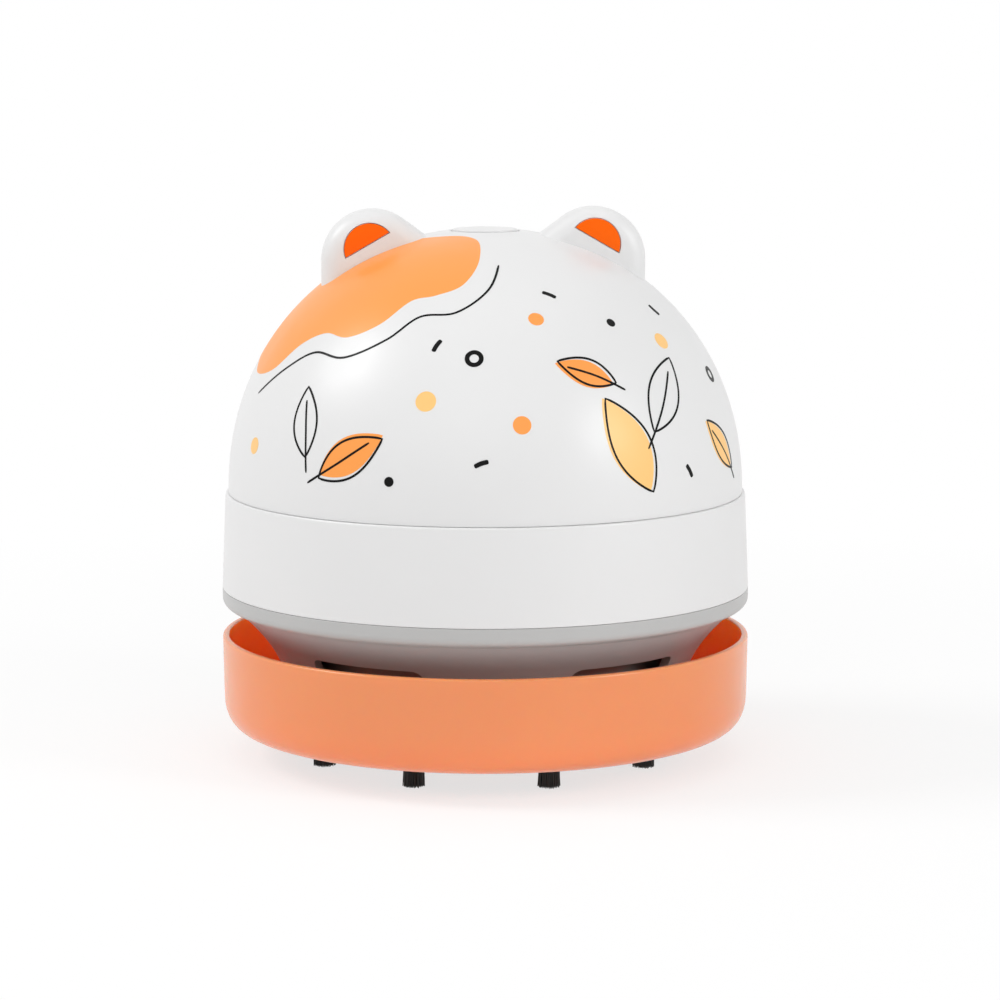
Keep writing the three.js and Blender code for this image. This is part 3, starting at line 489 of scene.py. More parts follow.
def prism(name, outline, low, high):
    """An outline in X and Y raised from one height to another."""
    count = len(outline)
    points = [(x, y, z) for z in (low, high) for x, y in outline]
    faces = [list(range(count)), list(range(count, 2 * count))]
    for i in range(count):
        j = (i + 1) % count
        faces.append([i, j, count + j, count + i])
    return mesh_object(name, points, faces)


def loft(points, faces, rings):
    """Adds rings of points, the faces between them, and one at each end."""
    first, count = len(points), len(rings[0])
    for k, ring in enumerate(rings):
        points += ring
        a, b = first + (k - 1) * count, first + k * count
        for i in range(count if k else 0):
            j = (i + 1) % count
            faces.append([a + i, a + j, b + j, b + i])
    for end in (first, len(points) - count):
        faces.append(list(range(end, end + count)))


def box_outline(width, low, high, corner):
    half = width / 2
    corners = [(-half, low), (half, low), (half, high), (-half, high)]
    return filleted([(x, y, corner) for x, y in corners])


def sector(name, inner, outer, low, high, start, end):
    """A piece of a ring between two directions."""
    steps = max(2, ceil((end - start) * ROUND_SIDES / 360))
    angles = [radians(start + (end - start) * i / steps) for i in range(steps + 1)]
    outline = [facing(angle, outer) for angle in angles]
    outline += [facing(angle, inner) for angle in reversed(angles)]
    return prism(name, outline, low, high)


# Materials

paints = {}


def wired(tree, node, inputs):
    """Sets each input of a node to a value, or links it to a socket; gives the node's outputs."""
    for place, value in inputs.items():
        if isinstance(value, bpy.types.NodeSocket):
            tree.links.new(value, node.inputs[place])
        else:
            node.inputs[place].default_value = value
    return node.outputs


def added(tree, kind, inputs, **settings):
    """Adds a shader node with its settings and inputs; gives its outputs."""
    node = tree.nodes.new("ShaderNode" + kind)
    for setting, value in settings.items():
        setattr(node, setting, value)
    return wired(tree, node, inputs)


def ranged(tree, value, low, high, start=0.35, end=0.65):
    limits = {"From Min": start, "From Max": end, "To Min": low, "To Max": high}
    return added(tree, "MapRange", {"Value": value, **limits})["Result"]


def noise_at(tree, places, size, detail=1, stretch=None):
    """Noise whose features are about a size in millimetres."""
    if stretch:
        places = added(tree, "Mapping", {"Vector": places, "Scale": stretch})["Vector"]
    grain = {"Vector": places, "Scale": 1 / (size * MM), "Detail": detail}
    return added(tree, "TexNoise", grain)["Fac"]


def started(name, **fixed):
    """The node tree and object coordinates of a new paint, with its uniform values set."""
    paints[name] = bpy.data.materials.new(name)
    paints[name].use_nodes = True
    tree = paints[name].node_tree
    values = {socket.replace("_", " "): value for socket, value in fixed.items()}
    wired(tree, tree.nodes["Principled BSDF"], values)
    return tree, added(tree, "TexCoord", {})["Object"]


def coated(tree, share, dark, light, roughness, bumps):
    """A colour between two by a share, a roughness, and bumps: height, depth, strength."""
    ends = {"Factor": share, "A": (*dark, 1), "B": (*light, 1)}
    inputs = {"Base Color": added(tree, "Mix", ends, data_type="RGBA")["Result"],
              "Roughness": roughness}
    for height, depth, strength in bumps:
        below = {"Normal": inputs["Normal"]} if "Normal" in inputs else {}
        bump = {"Height": height, "Distance": depth * MM, "Strength": strength, **below}
        inputs["Normal"] = added(tree, "Bump", bump)["Normal"]
    wired(tree, tree.nodes["Principled BSDF"], inputs)


# Sizes of a moulded skin's features, the strength of its bumps, and how uneven its gloss is
CLOUD_SIZE = 16
PATCH_SIZE = 6
GRAIN_SIZE = 0.35
WAVE_SIZE = 9
GRAIN_STRENGTH = 0.35
WAVE_STRENGTH = 0.25
GLOSS_SPREAD = 0.2
STREAK_DEPTH = 0.01


def plastic(name, colour, roughness, shift, grain, wave, **fixed):
    """Moulded plastic: faint cloudiness, uneven gloss, moulding waves and a fine skin."""
    tree, places = started(name, **fixed)
    clouds = ranged(tree, noise_at(tree, places, CLOUD_SIZE), 0, 1, 0, 1)
    darker = [c * (1 - shift) for c in colour]
    lighter = [min(1, c * (1 + shift)) for c in colour]
    gloss = ranged(tree, noise_at(tree, places, PATCH_SIZE), roughness * (1 - GLOSS_SPREAD),
                   roughness * (1 + GLOSS_SPREAD), 0, 1)
    skin = (noise_at(tree, places, GRAIN_SIZE, 2), grain, GRAIN_STRENGTH)
    waves = (noise_at(tree, places, WAVE_SIZE), wave, WAVE_STRENGTH)
    coated(tree, clouds, darker, lighter, gloss, [skin, waves])


def streaked(name, size, detail, squash, dark, light, gloss_low, gloss_high, strength, **fixed):
    """Fine streaks along Z in colour, roughness and relief."""
    tree, places = started(name, **fixed)
    streaks = noise_at(tree, places, size, detail, (1, 1, squash))
    coated(tree, ranged(tree, streaks, 0, 1), dark, light,
           ranged(tree, streaks, gloss_low, gloss_high), [(streaks, STREAK_DEPTH, strength)])


def sponge_material():
    tree, places = started("sponge_foam")
    cells = added(tree, "TexVoronoi", {"Vector": places, "Scale": 1 / (0.55 * MM)})["Distance"]
    # Darker in the foam's pits: painted shade in the cells; the same pits give the bumps
    shaded_pits = ranged(tree, cells, 0, 1, 0.1, 0.55)
    coated(tree, shaded_pits, (0.012, 0.012, 0.014), (0.075, 0.078, 0.083),
           ranged(tree, noise_at(tree, places, 2, 4), 0.8, 1.0), [(shaded_pits, 0.5, 0.8)])


def rubber_material():
    tree, places = started("seal_rubber")
    dust = noise_at(tree, places, 1.6, 5)
    coated(tree, ranged(tree, dust, 0, 1, 0.4, 0.75), (0.012, 0.012, 0.012),
           (0.035, 0.034, 0.032), ranged(tree, dust, 0.55, 0.8),
           [(noise_at(tree, places, 0.2, 3), 0.03, 0.5)])


def board_material():
    """Solder mask over faint rows of tracks, with a cloth grain in the bump."""
    tree, places = started("solder_mask")
    rows = {"Vector": places, "Scale": 1 / (9 * MM), "Mortar Size": 0.03}
    tracks = added(tree, "TexBrick", rows)["Fac"]
    coated(tree, tracks, (0.012, 0.105, 0.035), (0.03, 0.2, 0.06),
           ranged(tree, noise_at(tree, places, 1.5, 3), 0.3, 0.4),
           [(tracks, 0.03, 0.6), (noise_at(tree, places, 0.3, 2), 0.02, 0.3)])


translucent = {"Subsurface_Weight": 0.4, "Subsurface_Radius": (1, 0.2, 0.05),
               "Subsurface_Scale": 8 * MM}
# A stronger glow through the plastic: painted light for the tray's shaded inside
painted_glow = {"Subsurface_Weight": 0.95, "Subsurface_Radius": (1, 0.25, 0.07),
           "Subsurface_Scale": 14 * MM}
matt_ink = {"Specular_IOR_Level": 0.12}
# Name, colour, roughness, share by which the colour varies, depth of the grain and of the waves
plastic("white_gloss", (0.75, 0.75, 0.75), 0.36, 0.008, 0.0015, 0.004)
plastic("grey_gloss", (0.47, 0.47, 0.465), 0.36, 0.02, 0.003, 0.004)
plastic("orange_gloss", (1.0, 0.285, 0.108), 0.22, 0.025, 0.003, 0.006, **translucent)
# A lighter copy of the tray's orange, on its inner faces only: painted light on the shaded inside
plastic("orange_inner_painted_light", (1.0, 0.31, 0.13), 0.22, 0.025, 0.003, 0.006, **painted_glow)
plastic("vivid_orange", (0.98, 0.13, 0.0), 0.35, 0.03, 0.003, 0.004, **matt_ink)
plastic("ink_orange", (0.94, 0.33, 0.06), 0.36, 0.02, 0.002, 0.004)
plastic("ink_pale", (0.94, 0.56, 0.19), 0.36, 0.02, 0.002, 0.004)
plastic("ink_black", (0.004, 0.004, 0.004), 0.36, 0.2, 0.002, 0.004, **matt_ink)
plastic("filter_grey", (0.3, 0.3, 0.3), 0.42, 0.04, 0.02, 0.04)
plastic("inner_white", (0.68, 0.68, 0.65), 0.42, 0.03, 0.02, 0.04)
plastic("black_plastic", (0.018, 0.018, 0.02), 0.38, 0.15, 0.02, 0.03)
plastic("cell_wrap", (0.03, 0.15, 0.42), 0.22, 0.06, 0.01, 0.12)
plastic("lens_clear", (0.72, 0.78, 0.74), 0.12, 0.05, 0.004, 0.02, Coat_Weight=0.6)
plastic("sleeve_red", (0.42, 0.022, 0.016), 0.4, 0.08, 0.02, 0.03)
plastic("sleeve_black", (0.01, 0.01, 0.01), 0.42, 0.2, 0.02, 0.03)
streaked("bristle_nylon", 0.25, 3, 0.1, (0.006, 0.006, 0.007), (0.035, 0.033, 0.03), 0.32, 0.6, 0.4)
sponge_material()
rubber_material()
streaked("plated_steel", 0.6, 4, 0.05, (0.42, 0.42, 0.43), (0.62, 0.62, 0.63), 0.3, 0.42, 0.3,
         Metallic=1.0)
board_material()


def painted(made, material):
    made.data.materials.clear()
    made.data.materials.append(paints[material])


def finished(made, material, body, slot, *nodes, angle=SMOOTH_ANGLE):
    """Gives a piece its shading, material and body, and hides the CAD nodes that it stands for; slot
    is not used.
    """
    made.data.shade_smooth()
    made.data.set_sharp_from_angle(angle=angle)
    painted(made, material)
    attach(made, body)
    if nodes:
        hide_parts(*nodes)
    return made


# Dust tray: turned wall and floor, pockets for the brush strips, hooks of the twist lock

def dust_tray():
    low_radius = tray_high.x - TRAY_DRAFT
    made = rounded("tray", [
        (pipe_hole, tray_low.z, EDGE), (low_radius, tray_low.z, TRAY_CORNER),
        (tray_high.x, tray_rim, TRAY_RIM_OUTER), (tray_high.x - TRAY_RIM, tray_rim, TRAY_RIM_INNER),
        (low_radius - TRAY_WALL, floor_top, TRAY_CORNER - TRAY_WALL), (pipe_hole, floor_top, EDGE),
    ], steps=2 * FILLET_STEPS)
    half = STRIP_ANGLE / 2 + degrees(JOINT_GAP / TUFT_RING)
    ceiling = tray_low.z + STRIP_THICKNESS + JOINT_GAP
    ringed(made, len(STRIP_WORDS), BRUSH_TURN, lambda: sector(
        "pocket", strip_inner - JOINT_GAP, strip_outer + JOINT_GAP, tray_low.z - OVERRUN, ceiling,
        -half, half))
    ringed(made, LUG_COUNT, LUG_FIRST + LOCK_TURN, lock_hook, "UNION")
    return made


def lock_hook():
    """A wall with a lip over the lug and a stop at its end, as one bevelled solid."""
    inner, middle = NECK_RADIUS + HOOK_GAP, lug_tip + HOOK_GAP
    lip_bottom = housing_low.z + LUG_HEIGHT + HOOK_GAP
    top = lip_bottom + HOOK_LIP
    low, half = floor_top - WELD, LUG_ANGLE / 2
    stop = half + STOP_GAP_ANGLE
    end = stop + STOP_ANGLE
    made = sector("hook", middle, middle + HOOK_WALL, low, top, -half, end + STOP_GAP_ANGLE)
    lip_top, lip_end = top - FLUSH_STEP, (stop + end) / 2
    lip = sector("lip", inner, middle + WELD, lip_bottom, lip_top, -half + STOP_GAP_ANGLE, lip_end)
    carved(made, lip, "UNION")
    block = sector("stop", inner + FLUSH_STEP, middle + WELD, low + FLUSH_STEP, lip_top - FLUSH_STEP,
                   stop, end)
    carved(made, block, "UNION")
    return bevelled(made, FINE)


def suction_pipe():
    mouth = PIPE_MOUTH + PIPE_WALL
    neck = PIPE_BORE + PIPE_WALL
    flange_low = floor_top + JOINT_GAP
    flange_high = flange_low + PIPE_FLANGE
    return rounded("pipe", [
        (PIPE_MOUTH, pipe_low.z, SOFT), (mouth, pipe_low.z, EDGE),
        (mouth, flange_low, CRISP), (pipe_high.x, flange_low, FINE),
        (pipe_high.x, flange_high, WIDE), (neck, flange_high, SOFT),
        (neck, pipe_high.z, SOFT), (PIPE_BORE, pipe_high.z, SOFT),
        (PIPE_BORE, pipe_low.z + PIPE_FLARE, PIPE_FLARE_ROUND),
    ], FINE_SIDES)


# Brush strips: a curved backing with tufts of fine tapered strands

def strand(points, faces, root, tip, lean):
    """A tapered strand from root to tip, bowed towards lean in its middle."""
    rings = []
    for k in range(STRAND_STEPS + 1):
        t = k / STRAND_STEPS
        middle = root.lerp(tip, t) + lean * sin(pi * t)
        radius = STRAND_RADIUS * (1 - STRAND_TAPER * t)
        rings.append([middle + Vector((x, y, 0)) for x, y in circle(radius, STRAND_SIDES)])
    loft(points, faces, rings)


def tufts(name, seed):
    """The strip's tufts, for a strip at the front."""
    rng = random.Random(seed)

    def scattered(spread):
        return Vector((rng.gauss(0, spread), rng.gauss(0, spread), 0))

    points, faces = [], []
    in_strip = TUFT_COUNT // len(STRIP_WORDS)
    top = Vector((0, 0, tray_low.z + WELD))
    for k in range(in_strip):
        angle = radians((k - (in_strip - 1) / 2) * 360 / TUFT_COUNT)
        centre = Vector((*facing(angle), 0)) * TUFT_RING
        for i in range(STRANDS_PER_TUFT):
            share = sqrt((i + 0.5) / STRANDS_PER_TUFT)
            turn = radians(i * GOLDEN_ANGLE)
            away = Vector((cos(turn), sin(turn), 0)) * share * TUFT_RADIUS
            stray = scattered(STRAND_STRAY)
            short = abs(rng.gauss(0, STRAND_SHORT)) if i % FULL_STRAND_EVERY else 0
            foot = Vector((0, 0, min(short, STRAND_SHORT_MOST)))
            tip = centre + away * (1 + TUFT_SPLAY * share) + stray + foot
            lean = scattered(STRAND_BOW) + away * STRAND_BOW_OUT
            strand(points, faces, centre + away * TUFT_ROOT + top, tip, lean)
    return mesh_object(name, points, faces)


def brush_strip(word, direction, seed):
    half = STRIP_ANGLE / 2
    low = tray_low.z
    backing = bevelled(sector(f"strip_{word}", strip_inner, strip_outer, low, low + STRIP_THICKNESS,
                              -half, half), STRIP_EDGE)
    bristles = tufts(f"bristles_{word}", seed)
    for made, material in ((backing, "black_plastic"), (bristles, "bristle_nylon")):
        finished(turned(made, direction), material, "tray", "bristle", f"brush_strip_{word}")


# Lower housing: skirt with lugs, neck with windows, rounded flange, bosses and spigot

def neck_flare(inset):
    points = []
    for i in range(FLARE_STEPS + 1):
        share = i / FLARE_STEPS
        radius = NECK_RADIUS + (FLANGE_FOOT - NECK_RADIUS) * share ** FLARE_POWER - inset
        points.append((radius, flare_bottom + (flange_bottom - flare_bottom) * share))
    return points


def post(radius, low, high):
    """An upright cylinder at the place of the front boss."""
    return moved(cylinder(radius, low, high), 0, -BOSS_RING, 0)


def lower_housing():
    round_middle = flange_bottom + FLANGE_ROUND
    rounding = [(FLANGE_FOOT + (housing_high.x - FLANGE_FOOT) * x, round_middle + FLANGE_ROUND * y)
                for x, y in arc(1, FLANGE_ROUND_START, 0, 2 * FILLET_STEPS)]
    inner_flare = [point for point in neck_flare(NECK_WALL) if point[0] < spigot_inner]
    made = rounded("housing_shell", [
        (skirt_bore, housing_low.z, WIDE), (NECK_RADIUS, housing_low.z, WIDE),
        *neck_flare(0),
        *rounding,
        (housing_high.x, flange_top, FLANGE_EDGE), (spigot_outer, flange_top, CRISP),
        (spigot_outer, spigot_top, EDGE), (spigot_inner, spigot_top, EDGE),
        (spigot_inner, round_middle, SOFT),
        *reversed(inner_flare),
    ])
    window = box_outline(WINDOW_WIDTH, window_sill, window_top, WINDOW_CORNER)
    ringed(made, WINDOW_COUNT, WINDOW_FIRST, lambda: forward(
        prism("window", window, skirt_bore - NECK_WALL, FLANGE_FOOT + OVERRUN)))
    half = LUG_ANGLE / 2
    low = housing_low.z
    ringed(made, LUG_COUNT, LUG_FIRST, lambda: bevelled(
        sector("lug", NECK_RADIUS - WELD, lug_tip, low, low + LUG_HEIGHT, -half, half), STRIP_EDGE),
        "UNION")
    step_top = plate_low.z - JOINT_GAP
    for radius, bottom, top in ((BOSS_STEP_RADIUS, flange_bottom - BOSS_ROOT, step_top),
                                (BOSS_RADIUS, step_top - WELD, housing_high.z)):
        ringed(made, BOSS_COUNT, BOSS_FIRST, lambda: post(radius, bottom, top), "UNION")
    return made


# Middle band with the mouths for port and lamp, and these two

def middle_band():
    bore = BAND_TOP_RADIUS - SHELL_WALL
    foot = flange_top + SEAM
    made = rounded("band", [
        (bore, foot, EDGE), (band_high.x, foot, BAND_FOOT_EDGE),
        (BAND_TOP_RADIUS, band_high.z, BAND_EDGE), (bore, band_high.z, EDGE),
    ])
    half = port_height / 2 + JOINT_GAP
    outline = box_outline(port_width + 2 * JOINT_GAP, port_middle - half, port_middle + half, half)
    reach = band_high.x + OVERRUN
    carved(made, turned(forward(prism("mouth", outline, bore - OVERRUN, reach)), BACK))
    carved(made, at_back(cylinder(lamp_radius + JOINT_GAP, bore - SHELL_WALL, reach)))
    return made


def at_back(made):
    """A shape turned about Z laid down along +Y, at the lamp's place."""
    middle = (lamp_low + lamp_high) / 2
    return moved(turned(made, -90, "X"), middle.x, 0, middle.z)


def charge_lamp():
    return at_back(rounded("lamp", [
        (0, lamp_low.y), (lamp_radius, lamp_low.y, FINE),
        (lamp_radius, lamp_high.y, SOFT), (0, lamp_high.y),
    ], SMALL_SIDES))


def charge_port():
    """A drawn steel shell with round ends, and the tongue inside it."""
    bottom, top = port_low.y, port_high.y
    outer, inner, blade = [
        box_outline(port_width - 2 * gap, port_middle - half, port_middle + half, corner)
        for gap, half, corner in ((0, port_height / 2, port_height / 2),
                                  (PORT_WALL, port_height / 2 - PORT_WALL, port_height / 2),
                                  (PORT_TONGUE_GAP, PORT_TONGUE / 2, FINE))]
    made = forward(prism("port", outer, bottom, top))
    carved(made, forward(prism("hollow", inner, bottom + PORT_FLOOR, top + OVERRUN)))
    bevelled(made, THIN_EDGE)
    tongue = forward(prism("port_tongue", blade, bottom + PORT_FLOOR - WELD, top - PORT_WALL))
    finished(turned(made, BACK), "plated_steel", "housing", "steel", "charge_port")
    finished(turned(tongue, BACK), "black_plastic", "housing", "black_plastic", "charge_port")


# Dome and button

def dome_point(angle, sunk=0):
    """Radius and height on the dome's outer superellipse, or on one smaller by sunk."""
    across = (dome_high.x - sunk) * max(0, cos(angle)) ** (2 / DOME_POWER)
    up = (DOME_HEIGHT - sunk) * sin(angle) ** (2 / DOME_POWER)
    return across, dome_bottom + up


def dome_outline(sunk, steps, last=pi / 2):
    return [dome_point(last * i / steps, sunk) for i in range(steps + 1)]


def holed_outline(sunk, steps):
    """From the seam up to the button's hole."""
    share = BUTTON_HOLE / (dome_high.x - sunk)
    return dome_outline(sunk, steps, acos(share ** (DOME_POWER / 2)))


def dome_cover():
    outside = holed_outline(0, DOME_STEPS)
    inside = [point for point in holed_outline(SHELL_WALL, DOME_STEPS // 2)
              if point[1] > dome_bottom + SHELL_WALL]
    foot = band_high.z + SEAM
    return rounded("dome", [
        (spigot_inner, dome_low.z, EDGE), (spigot_outer, dome_low.z, EDGE),
        (spigot_outer, foot, CRISP), (dome_high.x, foot, DOME_FOOT_EDGE),
        *outside[1:-1],
        (*outside[-1], CROWN_EDGE), (*inside[-1], EDGE),
        *reversed(inside[:-1]),
    ])


def power_button():
    radius = BUTTON_HOLE - JOINT_GAP
    edge = radius - CROWN_EDGE
    top = crown + BUTTON_PROUD
    radii = [edge * i / FILLET_STEPS for i in range(FILLET_STEPS, -1, -1)]
    flange_low = button_low.z + BUTTON_STEM_LENGTH
    flange_high = flange_low + BUTTON_FLANGE
    return rounded("button", [
        (0, button_low.z), (BUTTON_STEM, button_low.z, EDGE),
        (BUTTON_STEM, flange_low, CRISP), (button_high.x, flange_low, FINE),
        (button_high.x, flange_high, FINE), (radius, flange_high, CRISP),
        (radius, top - BUTTON_RISE, WIDE),
        *[(r, top - BUTTON_RISE * (r / edge) ** 2) for r in radii],
    ], FINE_SIDES)


# Ears: rounded pads that grow out of the dome, each with a half-moon inlay

def ear_placed(made, word, tilted):
    across, drop, _ = EAR_PLACES[word]
    return moved(turned(made, copysign(tilted, across), "Y"), across, 0, crown - drop)


def ear_outline(inset):
    """A round top whose sides run on straight down and outwards."""
    radius = EAR_RADIUS - inset
    half = arc(radius, EAR_FLARE, pi / 2, FINE_SIDES)
    run = (EAR_LENGTH - inset + radius * sin(EAR_FLARE)) / cos(EAR_FLARE)
    x, y = half[0]
    half.insert(0, (x + run * sin(EAR_FLARE), y - run * cos(EAR_FLARE)))
    return half + [(-x, y) for x, y in reversed(half[:-1])]


def ear_pad(name):
    """The outline drawn in towards both faces in a quarter round."""
    levels = [(EAR_ROUND * (1 - y), EAR_ROUND * (1 - x))
              for x, y in arc(1, 0, pi / 2, 2 * FILLET_STEPS)]
    stations = [(inset, EAR_BACK - drawn) for inset, drawn in levels]
    stations += [(inset, drawn - EAR_FRONT) for inset, drawn in reversed(levels)]
    points, faces = [], []
    loft(points, faces, [[(x, depth, y) for x, y in ear_outline(inset)] for inset, depth in stations])
    return mesh_object(name, points, faces)


def half_moon(shift, grown):
    radius = INLAY_ARC + grown
    start = asin((INLAY_ARC - INLAY_HEIGHT - grown) / radius)
    points = shifted(arc(radius, start, pi - start, FINE_SIDES // 2), shift, INLAY_RISE)
    points[0] = (*points[0], EDGE)
    points[-1] = (*points[-1], EDGE)
    return filleted(points)


def ear(word):
    across, _, inward = EAR_PLACES[word]
    shift = -copysign(inward, across)
    made = ear_placed(ear_pad(f"ear_pad_{word}"), word, EAR_TILT)
    carved(made, lathe("envelope", [(0, dome_bottom), *dome_outline(EAR_SINK, DOME_STEPS)]))
    face = EAR_FRONT + INLAY_PROUD
    floor = face - INLAY_THICKNESS - INLAY_GAP
    pocket = forward(prism("pocket", half_moon(shift, INLAY_GAP), floor, EAR_FRONT + OVERRUN))
    carved(made, ear_placed(pocket, word, INLAY_TILT))
    inlay = forward(prism(f"inlay_{word}", half_moon(shift, 0), face - INLAY_THICKNESS, face))
    bevelled(inlay, INLAY_EDGE, 3)
    finished(made, "white_gloss", "housing", "white_shell", f"ear_{word}")
    ear_placed(inlay, word, INLAY_TILT)
    finished(inlay, "vivid_orange", "housing", "inlay", f"ear_inlay_{word}")


# Filter: cup, grid, sponge and seal

def filter_cup():
    bore = seal_high.x - CUP_WALL
    foot_top = cup_low.z + CUP_FOOT_HEIGHT
    ledge = grid_low.z - JOINT_GAP
    return rounded("cup", [
        (bore, cup_low.z, EDGE), (cup_high.x, cup_low.z, EDGE),
        (cup_high.x, foot_top, EDGE), (seal_high.x, foot_top, WIDE),
        (seal_high.x, cup_high.z, EDGE), (bore, cup_high.z, EDGE),
        (bore, ledge, CRISP), (bore - GRID_LEDGE, ledge, FINE),
        (bore, ledge - 2 * GRID_LEDGE, EDGE),
    ])


def filter_grid():
    """Ring, middle ring and crossing bars, joined and with soft edges."""
    low, high, outer = grid_low.z, grid_high.z, grid_high.x

    def hoop(name, inside, outside):
        corners = [(inside, low), (outside, low), (outside, high), (inside, high)]
        return rounded(name, [(r, z, EDGE) for r, z in corners], 2 * FINE_SIDES)

    half, length = GRID_BAR / 2, outer - GRID_BAR + WELD
    made = hoop("grid", outer - GRID_BAR, outer)
    carved(made, hoop("hoop", GRID_RING - half, GRID_RING + half), "UNION")
    outline = [(-length, -half), (length, -half), (length, half), (-length, half)]
    for direction in directions(GRID_BARS, span=180):
        carved(made, turned(bevelled(prism("bar", outline, low, high), EDGE), direction), "UNION")
    return made


def filter_sponge():
    """A disc of foam whose faces are pitted and uneven, inside the CAD disc."""
    low, high, radius = sponge_low.z, sponge_high.z, sponge_high.x
    radii = [radius * i / SPONGE_STEPS for i in range(SPONGE_STEPS)]
    profile = [(r, low) for r in radii] + [(radius - x, low + y) for x, y in SPONGE_RIM]
    profile += [(radius - x, high - y) for x, y in reversed(SPONGE_RIM)]
    profile += [(r, high) for r in reversed(radii)]

    def pitted(point):
        place = Vector(point)
        pit = SPONGE_PIT
        for depth, rate in SPONGE_PITS:
            pit += depth * noise.noise(place * rate)
        inward = max(0, min(pit, SPONGE_PIT_MOST))
        level = 1 if place.z < (low + high) / 2 else -1
        drawn = place.normalized() * inward * SPONGE_DRAWN
        return place + Vector((0, 0, level * inward)) - drawn

    return lathe("sponge", profile, 3 * SPONGE_STEPS, pitted)


def filter_seal():
    low, high, outer = seal_low.z, seal_high.z, seal_high.x
    inner = outer - SEAL_WIDTH
    middle = (inner + outer) / 2
    return rounded("seal", [
        (inner, low, WIDE), (outer, low, WIDE),
        (outer, high, SOFT), (middle + SEAL_GROOVE, high, EDGE),
        (middle, high - SEAL_GROOVE, EDGE), (middle - SEAL_GROOVE, high, EDGE),
        (inner, high, SOFT),
    ])


# Fan plate and fan

def fan_plate():
    low, high = plate_low.z, plate_high.z
    made = rounded("inlet_plate", [
        (FAN_INLET, low, FAN_INLET_EDGE), (FAN_PLATE_RADIUS, low, EDGE),
        (FAN_PLATE_RADIUS, high, EDGE), (FAN_INLET, high, EDGE),
    ])
    bore = BOSS_RADIUS + JOINT_GAP
    eyelet, root = bore + EYELET_WALL, FAN_PLATE_RADIUS - EYELET_ROOT
    outline = [(eyelet, -root), (-eyelet, -root)]
    outline += shifted(arc(-eyelet, 0, pi, SMALL_SIDES // 2), 0, -BOSS_RING)
    for direction in directions(BOSS_COUNT, BOSS_FIRST):
        tongue = prism("tongue", outline, low + FLUSH_STEP, high - FLUSH_STEP)
        carved(made, turned(tongue, direction), "UNION")
        carved(made, turned(post(bore, low - OVERRUN, high + OVERRUN), direction))
    return made


def fan_wheel():
    """Back plate with hub, and swept blades that are thinner at their tips."""
    back_top = fan_low.z + FAN_HEIGHT
    back_bottom = back_top - FAN_BACK
    radius = fan_high.x
    made = rounded("impeller", [
        (FAN_BORE, fan_low.z, FINE), (FAN_HUB, fan_low.z, FAN_HUB_EDGE),
        (FAN_HUB, back_bottom, FAN_HUB_ROOT), (radius, back_bottom, EDGE),
        (radius, back_top, EDGE), (FAN_HUB, back_top, SOFT),
        (FAN_HUB, fan_high.z, WIDE), (FAN_BORE, fan_high.z, FINE),
    ], 2 * FINE_SIDES)
    left, right = [], []
    for i in range(FAN_BLADE_STEPS + 1):
        share = i / FAN_BLADE_STEPS
        r = FAN_BLADE_ROOT + (radius - FAN_BLADE_SHORT - FAN_BLADE_ROOT) * share
        half = FAN_BLADE_WIDTH * (1 - FAN_BLADE_TAPER * share) / 2 / r
        middle = radians(FAN_SWEEP * share)
        left.append(facing(middle - half, r))
        right.insert(0, facing(middle + half, r))
    ringed(made, FAN_BLADES, 0, lambda: bevelled(
        prism("blade", left + right, fan_low.z, back_bottom + FAN_BLADE_WELD), THIN_EDGE), "UNION")
    return made


# Print on the dome: thin shells of ink that follow its surface

def dome_at(direction, climb):
    across, height = dome_point(radians(climb))
    return Vector((*facing(radians(direction), across), height))


def onto_dome(point, proud):
    """A nearby point moved onto the dome's surface, along the line from the middle of its seam."""
    away = point - dome_middle
    flat = hypot(away.x, away.y) / dome_high.x
    tall = max(away.z, 0) / DOME_HEIGHT
    away /= (flat ** DOME_POWER + tall ** DOME_POWER) ** (1 / DOME_POWER)
    return dome_middle + away + away.normalized() * proud


def placed(points, direction, climb, tilt=0):
    """Flat points laid in the plane that touches the dome at a place."""
    centre = dome_at(direction, climb)
    across = dome_at(direction + NEARBY, climb) - dome_at(direction - NEARBY, climb)
    up = dome_at(direction, climb + NEARBY) - dome_at(direction, climb - NEARBY)
    across.normalize()
    up.normalize()
    turn = radians(tilt)
    right, top = across * cos(turn) + up * sin(turn), up * cos(turn) - across * sin(turn)
    return [centre + right * x + top * y for x, y in points]


def filled(outline):
    """Faces inside a flat outline, cut small enough to bend over the dome."""
    editing = bmesh.new()
    editing.faces.new([editing.verts.new((x, y, 0)) for x, y in outline])
    bmesh.ops.triangulate(editing, faces=editing.faces)
    for axis in (0, 1):
        values = [point[axis] for point in outline]
        normal = Vector((1 - axis, axis, 0))
        for i in range(1, ceil((max(values) - min(values)) / FILL_STEP)):
            at = normal * (min(values) + i * FILL_STEP)
            geometry = editing.verts[:] + editing.edges[:] + editing.faces[:]
            bmesh.ops.bisect_plane(editing, geom=geometry, plane_co=at, plane_no=normal)
    bmesh.ops.triangulate(editing, faces=editing.faces)
    editing.verts.index_update()
    points = [v.co.xy for v in editing.verts]
    faces = [[v.index for v in face.verts] for face in editing.faces]
    editing.free()
    return points, faces


def line(path, width, closed=False, on_dome=False):
    """Faces of a line of ink along a path, flat or on the dome, with round ends if it is open."""
    points, faces = [], []
    count = len(path)
    last = count - 1
    path = [Vector(p) for p in path]
    for i, here in enumerate(path):
        before = path[i - 1] if closed or i else here
        after = path[(i + 1) % count] if closed or i < last else here
        along = (after - before).normalized()
        side = along.cross(here - dome_middle) if on_dome else along.orthogonal()
        side = side.normalized() * width / 2
        if not closed:
            side *= sin(pi / 2 * min(1, (min(i, last - i) + 0.5) / LINE_END)) ** 0.5
        points += [here - side, here + side]
    for i in range(count if closed else last):
        a, b = 2 * i, 2 * ((i + 1) % count)
        faces.append([a, a + 1, b + 1, b])
    return points, faces


